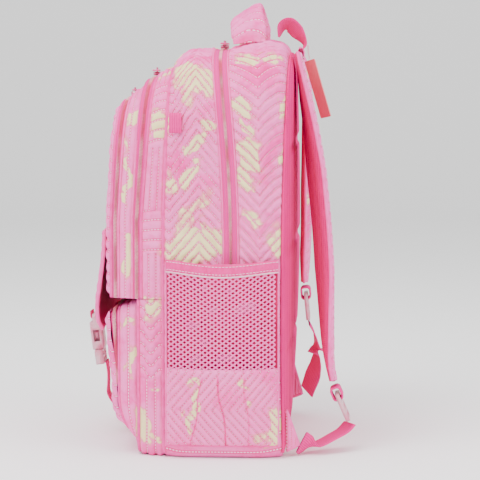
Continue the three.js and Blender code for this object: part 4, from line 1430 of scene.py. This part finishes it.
def pocket_base(name, sign):
    """The padded panel under the net: upright zigzag lines and a few folds, darkened with painted shade.
    """
    z = np.linspace(POCKET_FOOT, POCKET_BASE_TOP, 105)[:, None]
    share = np.linspace(0, 1, 150)[None, :]
    y = POCKET_FRONT + POCKET_WIDTH * share
    phase = (y + 34 * triangle_wave((z - 14) / 80)) / 8.6
    from_side = np.minimum(share, 1 - share) * POCKET_WIDTH
    edge = np.minimum(from_side, np.minimum(z - POCKET_FOOT, POCKET_BASE_TOP - z))
    folds = pleat_depth(y, z)
    lift = 0.4 + 2.4 * puff(phase) * smoothstep(0, 4, edge) + 0.7 - 2.2 * folds
    points = pocket_points(sign, share + 0 * z, z + 0 * share, lift)
    crumple = ripples(warped(points.reshape(-1, 3), 6, 30, 71), 15, 72).reshape(lift.shape)
    points[..., 0] += sign * 0.6 * crumple
    inward = np.zeros_like(points)
    inward[..., 0] = -sign
    quilt = np.stack([phase, z * 1.35 + 0 * share], axis=-1)
    cloth = grid_object(f"pocket base quilt {name}", points, QUILT, quilt, inward, 2.0,
                        colour=marble_with_fold_shade)
    place(cloth, "bag", [f"pocket_base_{name}"])


# The marble, with painted shade in the folds: less cream and more deep pink where the panel is folded
# in.
def marble_with_fold_shade(points):
    cream, deep = marble(points)
    fold_shade = np.clip(pleat_depth(points[:, 1], points[:, 2]), 0, 1)
    return cream * (1 - fold_shade), np.maximum(deep, 1.3 * fold_shade)


def side_pockets():
    for name, sign in (("right", 1), ("left", -1)):
        pocket_net(name, sign)
        pocket_hem(name, sign)
        pocket_base(name, sign)
        heights = np.linspace(15, 208, 60)
        edges = [pocket_points(sign, np.array(share), heights, 0.8) for share in (0.0, 1.0)]
        sewn_cord(f"pocket binding {name}", edges, 1.1, BINDING)
        foot = pocket_points(sign, np.linspace(0, 1, 60), np.full(60, 14.0), 0.9)
        sewn_cord(f"pocket foot {name}", [foot], 0.8, PIPING)


# ---- back panel and the pieces sewn to it ----
def back_panel():
    """Air mesh pads: a middle channel and cross channels between raised cushions, and a hollow
    where the card hangs."""
    half_at = arch_half(BACK_HALF, BACK_TOP)
    rows = [np.arange(BACK_FOOT, BACK_TOP - 12, 1.6), BACK_TOP - 12 * np.linspace(0, 1, 16) ** 2]
    z = np.unique(np.concatenate(rows))
    z = np.clip(z, BACK_FOOT, BACK_TOP - 0.1)[:, None]
    u = np.linspace(-1, 1, 200)[None, :]
    half = half_at(z)
    x = half * u
    edge_y = SEAMS["back"](z) + GAP + 3
    up = (2 * z - BACK_TOP - BACK_FOOT) / (BACK_TOP - BACK_FOOT)
    crown = (1 - (x / BACK_HALF) ** 2) * np.maximum(0, 1 - up ** 2)
    border = np.minimum(half - np.abs(x), np.minimum(z - BACK_FOOT, BACK_TOP - z))
    channel = smoothstep(16, 5, np.abs(x))
    for level_z in (110, 215, 320):
        bow = level_z + 14 * (1 - (x / BACK_HALF) ** 2)
        cross = smoothstep(8, 2, np.abs(z - bow)) * smoothstep(150, 120, np.abs(x))
        channel = np.maximum(channel, cross)
    pads = smoothstep(4, 22, border) * (1 - channel)
    card_room = smoothstep(48, 26, np.abs(x)) * smoothstep(45, 20, np.abs(z - 372))
    swell = 11.5 * crown
    y = edge_y + swell * (0.9 + 0.1 * pads) + 1.2 * pads - 1.5 * smoothstep(5, 0, border)
    y = y - 2.5 * card_room * smoothstep(0, 6, swell)
    points = np.stack([x, y + 0 * u, z + 0 * u], axis=-1)
    inward = np.zeros_like(points)
    inward[..., 1] = -1
    obj = grid_object("back panel mesh", points, AIR_MESH, None, inward, 3.4, colour=no_marble)
    place(obj, "bag", ["back_panel"])


def back_binding():
    line = arch_line(BACK_HALF + 0.6, BACK_TOP + 0.6, BACK_FOOT)
    piping("back seam binding", line, seam("back", 1.0), 1.3, 0.3, AIR_MESH)


WING_ROOT = 136         # x of the edge that is sewn to the bag


def wing(name, sign, tip):
    """A quilted triangle sewn in the lower corner of the back."""
    low, high = tip[2] - 5, tip[2] + 38
    a = np.array([sign * WING_ROOT, wing_rear(low), low])
    b = np.array([sign * WING_ROOT, wing_rear(high), high])
    c = np.array(tip, float)
    s = np.linspace(0, 1, 44)[:, None, None]
    t = np.linspace(0, 1, 44)[None, :, None]
    middle = (a + (b - a) * t) * (1 - s) + c * s
    normal = unit(np.cross(b - a, c - a)[None, None, :]) + 0 * middle
    normal = normal * (1 if normal[0, 0, 1] > 0 else -1)
    border = np.minimum(np.minimum(t, 1 - t) * (1 - s) * 43, s * 20 + 2)[..., 0]
    phase = s[..., 0] * 3 + 0 * t[..., 0]
    lift = 1.1 + 1.4 * puff(phase) * smoothstep(0, 4, border)
    for face, label in ((1, "outer"), (-1, "inner")):
        node = [f"wing_{name}"] if face == 1 else ()
        points = middle + normal * face * lift[..., None]
        quilt = np.stack([phase, t[..., 0] * 40 + 0 * s[..., 0]], axis=-1)
        obj = grid_object(f"wing {name} {label}", points, QUILT, quilt, -normal * face, 1.1)
        place(obj, "bag", node)
    lower_edge = a + (c - a) * np.linspace(0, 1, 12)[:, None]
    upper_edge = c + (b - c) * np.linspace(0, 1, 24)[1:, None]
    sewn_cord(f"wing {name} binding", [np.vstack([lower_edge, upper_edge])], 1.9, BINDING)


def wing_rear(z):
    """How far back the back panel stands where a wing's edge is sewn to it."""
    crown = 12 * (1 - (WING_ROOT / BACK_HALF) ** 2) * max(0, 1 - ((2 * z - 437) / 425) ** 2)
    return float(SEAMS["back"](np.array(z))) + GAP + 3 + crown + 1.0


def small_sewn_parts():
    low, high = node_box("loop_tab")
    y = (low[1] + high[1]) / 2
    x = high[0]
    route = [(x - 1.6, y, low[2] + 0.5), (x + 0.2, y, low[2] + 3), (x + 0.6, y, (low[2] + high[2]) / 2),
             (x + 0.2, y, high[2] - 3), (x - 1.6, y, high[2] - 0.5)]
    tab = ribbon("side loop tab", route, high[1] - low[1], 1.6, along_y, WEB, 0.1)
    place(tab, "bag", ["loop_tab"])
    for name in ("right", "left"):
        loop = softened(f"lock_loop_{name}", 0.5, WEB)
        place(loop, f"strap_{name}", [f"lock_loop_{name}"])


# ---- moulded parts: the CAD shapes with soft edges ----
def softened(node, width, material):
    """A copy of a CAD node with its sharp edges rounded."""
    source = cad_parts[node]
    mesh = source.data.copy()
    mesh.materials.clear()
    mesh.materials.append(material)
    obj = bpy.data.objects.new(node + "_moulded", mesh)
    obj.matrix_world = source.matrix_world.copy()
    bpy.context.collection.objects.link(obj)
    work = bmesh.new()
    work.from_mesh(mesh)
    bmesh.ops.remove_doubles(work, verts=work.verts, dist=1e-5)
    bmesh.ops.dissolve_limit(work, angle_limit=math.radians(2), verts=work.verts, edges=work.edges)
    sharp = [edge for edge in work.edges
             if edge.is_manifold and edge.calc_face_angle(0) > math.radians(28)]
    bmesh.ops.bevel(work, geom=sharp, offset=width * MM, segments=3, affect="EDGES", clamp_overlap=True)
    bmesh.ops.triangulate(work, faces=[face for face in work.faces if len(face.verts) > 4])
    work.to_mesh(mesh)
    work.free()
    mesh.shade_smooth()
    return obj


def moulded_parts():
    shapes = [
        ("buckle_socket", "flap", 0.9, PLASTIC, "clear_plastic"),
        ("buckle_plug", "plug", 0.6, PLASTIC, "clear_plastic"),
        ("buckle_prong_right", "prong_right", 0.2, PLASTIC, "clear_plastic"),
        ("buckle_prong_left", "prong_left", 0.2, PLASTIC, "clear_plastic"),
        ("ladder_lock_right", "lock_right", 0.8, PLASTIC, "clear_plastic"),
        ("ladder_lock_left", "lock_left", 0.8, PLASTIC, "clear_plastic"),
    ]
    for zip_name in ("main_slider_right", "main_slider_left", "middle_slider", "front_slider",
                     "lower_slider"):
        shapes.append((zip_name, zip_name, 0.5, METAL, "slider_metal"))
        shapes.append((zip_name + "_pull", zip_name + "_pull", 0.45, RUBBER, "pull_rubber"))
    for node, body, width, material, slot in shapes:
        place(softened(node, width, material), body, [node])


def inside_parts():
    for node in ("laptop_sleeve", "main_divider", "middle_divider", "lower_backing"):
        refinish(node, LINING)
    for node in ("back_stiffener", "base_board"):
        refinish(node, BOARD)


# ---- seams between the bands ----
def seam_trim():
    middle_foot = ORGANISER_FOOT
    zip_edge = ZIP_HALF + 0.3
    # name, half width, top and foot of the outline, its seam and shift, radius, lift, material
    cords = [
        ("main seam piping", 141.6, 413, 4, "piping", -0.3, 2.2, 0.4, PIPING),
        ("middle seam piping", 136.6, 404, middle_foot, "middle", -0.3, 1.5, 0.5, PIPING),
        ("organiser seam", 134.2, 394.5, middle_foot, "middle_zip_front", -0.3, 1.2, 0.6, BINDING),
        ("strip seam", 128.6, 382.5, middle_foot, "strip", -0.3, 1.2, 0.5, BINDING),
        ("front seam piping", 125, 375.5, middle_foot, "front_zip_front", -1.5, 1.8, 0.2, PIPING),
        ("main zip rear binding", 149.7, 430.6, POCKET_MOUTH, "main_zip", zip_edge, 0.9, 0.6, BINDING),
        ("main zip front binding", 149.7, 430.6, POCKET_MOUTH, "main_zip", -zip_edge, 0.9, 0.6, BINDING),
    ]
    for name, half, top, foot, seam_name, shift, radius, lift, material in cords:
        piping(name, arch_line(half, top, foot), seam(seam_name, shift), radius, lift, material)
    y = np.linspace(-60, 63, 60)
    level_z = np.full(60, POCKET_MOUTH + 0.2)
    paths = [np.column_stack([np.full(60, sign * (HALF_WIDTH + 0.6)), y, level_z]) for sign in (1, -1)]
    sewn_cord("mouth seam", paths, 1.3, PIPING)
    shelf = seam_path(tub_line(133.5, ORGANISER_FOOT, 3), SEAMS["side_foot"], 2.0, 0.4)
    sewn_cord("lower seam piping", [shelf], 1.7, PIPING)
    ring = seam_path(ring_line(*LOWER_FRONT_RING), seam("lower", 0.2), 2.0, 0.4)
    sewn_cord("lower pocket piping", [ring], 1.4, PIPING)


# ---- floor, light and camera ----
CAMERA_AZIMUTH, CAMERA_ELEVATION, CAMERA_DISTANCE = 93, 5, 2200
CAMERA_AIM = (0, 12.84, 218.82)
CAMERA_LENS = 147.14


def floor():
    """A pale floor that curves up behind the bag."""
    width, near, far, radius = 9000, 9000, 3200, 1400
    profile = [(-near, 0)]
    for step in range(17):
        angle = math.radians(90 * step / 16)
        profile.append((far + radius * math.sin(angle), radius - radius * math.cos(angle)))
    profile.append((far + radius, 5200))
    away = Vector((-math.sin(math.radians(CAMERA_AZIMUTH)), math.cos(math.radians(CAMERA_AZIMUTH)), 0))
    side = Vector((away.y, -away.x, 0))
    vertices, faces = [], []
    for distance, height in profile:
        for reach in (-width, width):
            vertices.append(away * distance + side * reach + Vector((0, 0, height - 0.4)))
    for k in range(len(profile) - 1):
        faces.append((2 * k, 2 * k + 1, 2 * k + 3, 2 * k + 2))
    make_object("studio floor", vertices, faces, floor_material())


def floor_material():
    shader = Shader("studio floor", linear(250, 250, 250), 0.9)
    shader.colour(shader.mix(shader.noise(900), linear(255, 255, 255), linear(252, 252, 252)))
    return shader.material


def towards(azimuth, elevation):
    """The direction from the bag to a lamp or the camera; azimuth 0 is in front, 90 its right."""
    a, e = math.radians(azimuth), math.radians(elevation)
    return Vector((math.sin(a) * math.cos(e), -math.cos(a) * math.cos(e), math.sin(e)))


def area_light(name, azimuth, elevation, distance, size, power):
    """A square lamp that looks at the middle of the bag."""
    lamp = bpy.data.lights.new(name, "AREA")
    lamp.size = size * MM
    lamp.energy = power
    obj = bpy.data.objects.new(name, lamp)
    bpy.context.collection.objects.link(obj)
    direction = towards(azimuth, elevation)
    aim = Vector((0, 0, 220)) * MM
    obj.location = aim + direction * distance * MM
    obj.rotation_euler = direction.to_track_quat("Z", "Y").to_euler()


def lights():
    area_light("key light", CAMERA_AZIMUTH - 40, 48, 2100, 1500, 52)
    area_light("fill light", CAMERA_AZIMUTH + 55, 25, 2300, 1800, 34)
    area_light("top light", CAMERA_AZIMUTH, 85, 2000, 1800, 26)
    world = bpy.data.worlds.new("studio")
    bpy.context.scene.world = world
    world.use_nodes = True
    background = world.node_tree.nodes["Background"]
    background.inputs["Color"].default_value = (1, 1, 1, 1)
    background.inputs["Strength"].default_value = 1.05


def camera():
    data = bpy.data.cameras.new("camera")
    data.lens = CAMERA_LENS
    data.sensor_width = 36
    obj = bpy.data.objects.new("camera", data)
    bpy.context.collection.objects.link(obj)
    back = towards(CAMERA_AZIMUTH, CAMERA_ELEVATION)
    obj.location = (Vector(CAMERA_AIM) + back * CAMERA_DISTANCE) * MM
    obj.rotation_euler = back.to_track_quat("Z", "Y").to_euler()
    bpy.context.scene.camera = obj


# ---- everything ----
camera()
floor()
lights()

back_gusset()
front_gusset()
base_cover()
middle_gusset()
front_strip()
lower_side_gusset()
lower_gusset()
front_panels()
main_zip()
small_zips()
seam_trim()
side_pockets()
back_panel()
back_binding()
wing("right", 1, (129, 82, 12))
wing("left", -1, (-129, 80, 24))
for strap_name in STRAPS:
    shoulder_strap(strap_name)
    carrying_webbing(strap_name)
top_gear()
flap()
flap_webbing()
small_sewn_parts()
moulded_parts()
inside_parts()
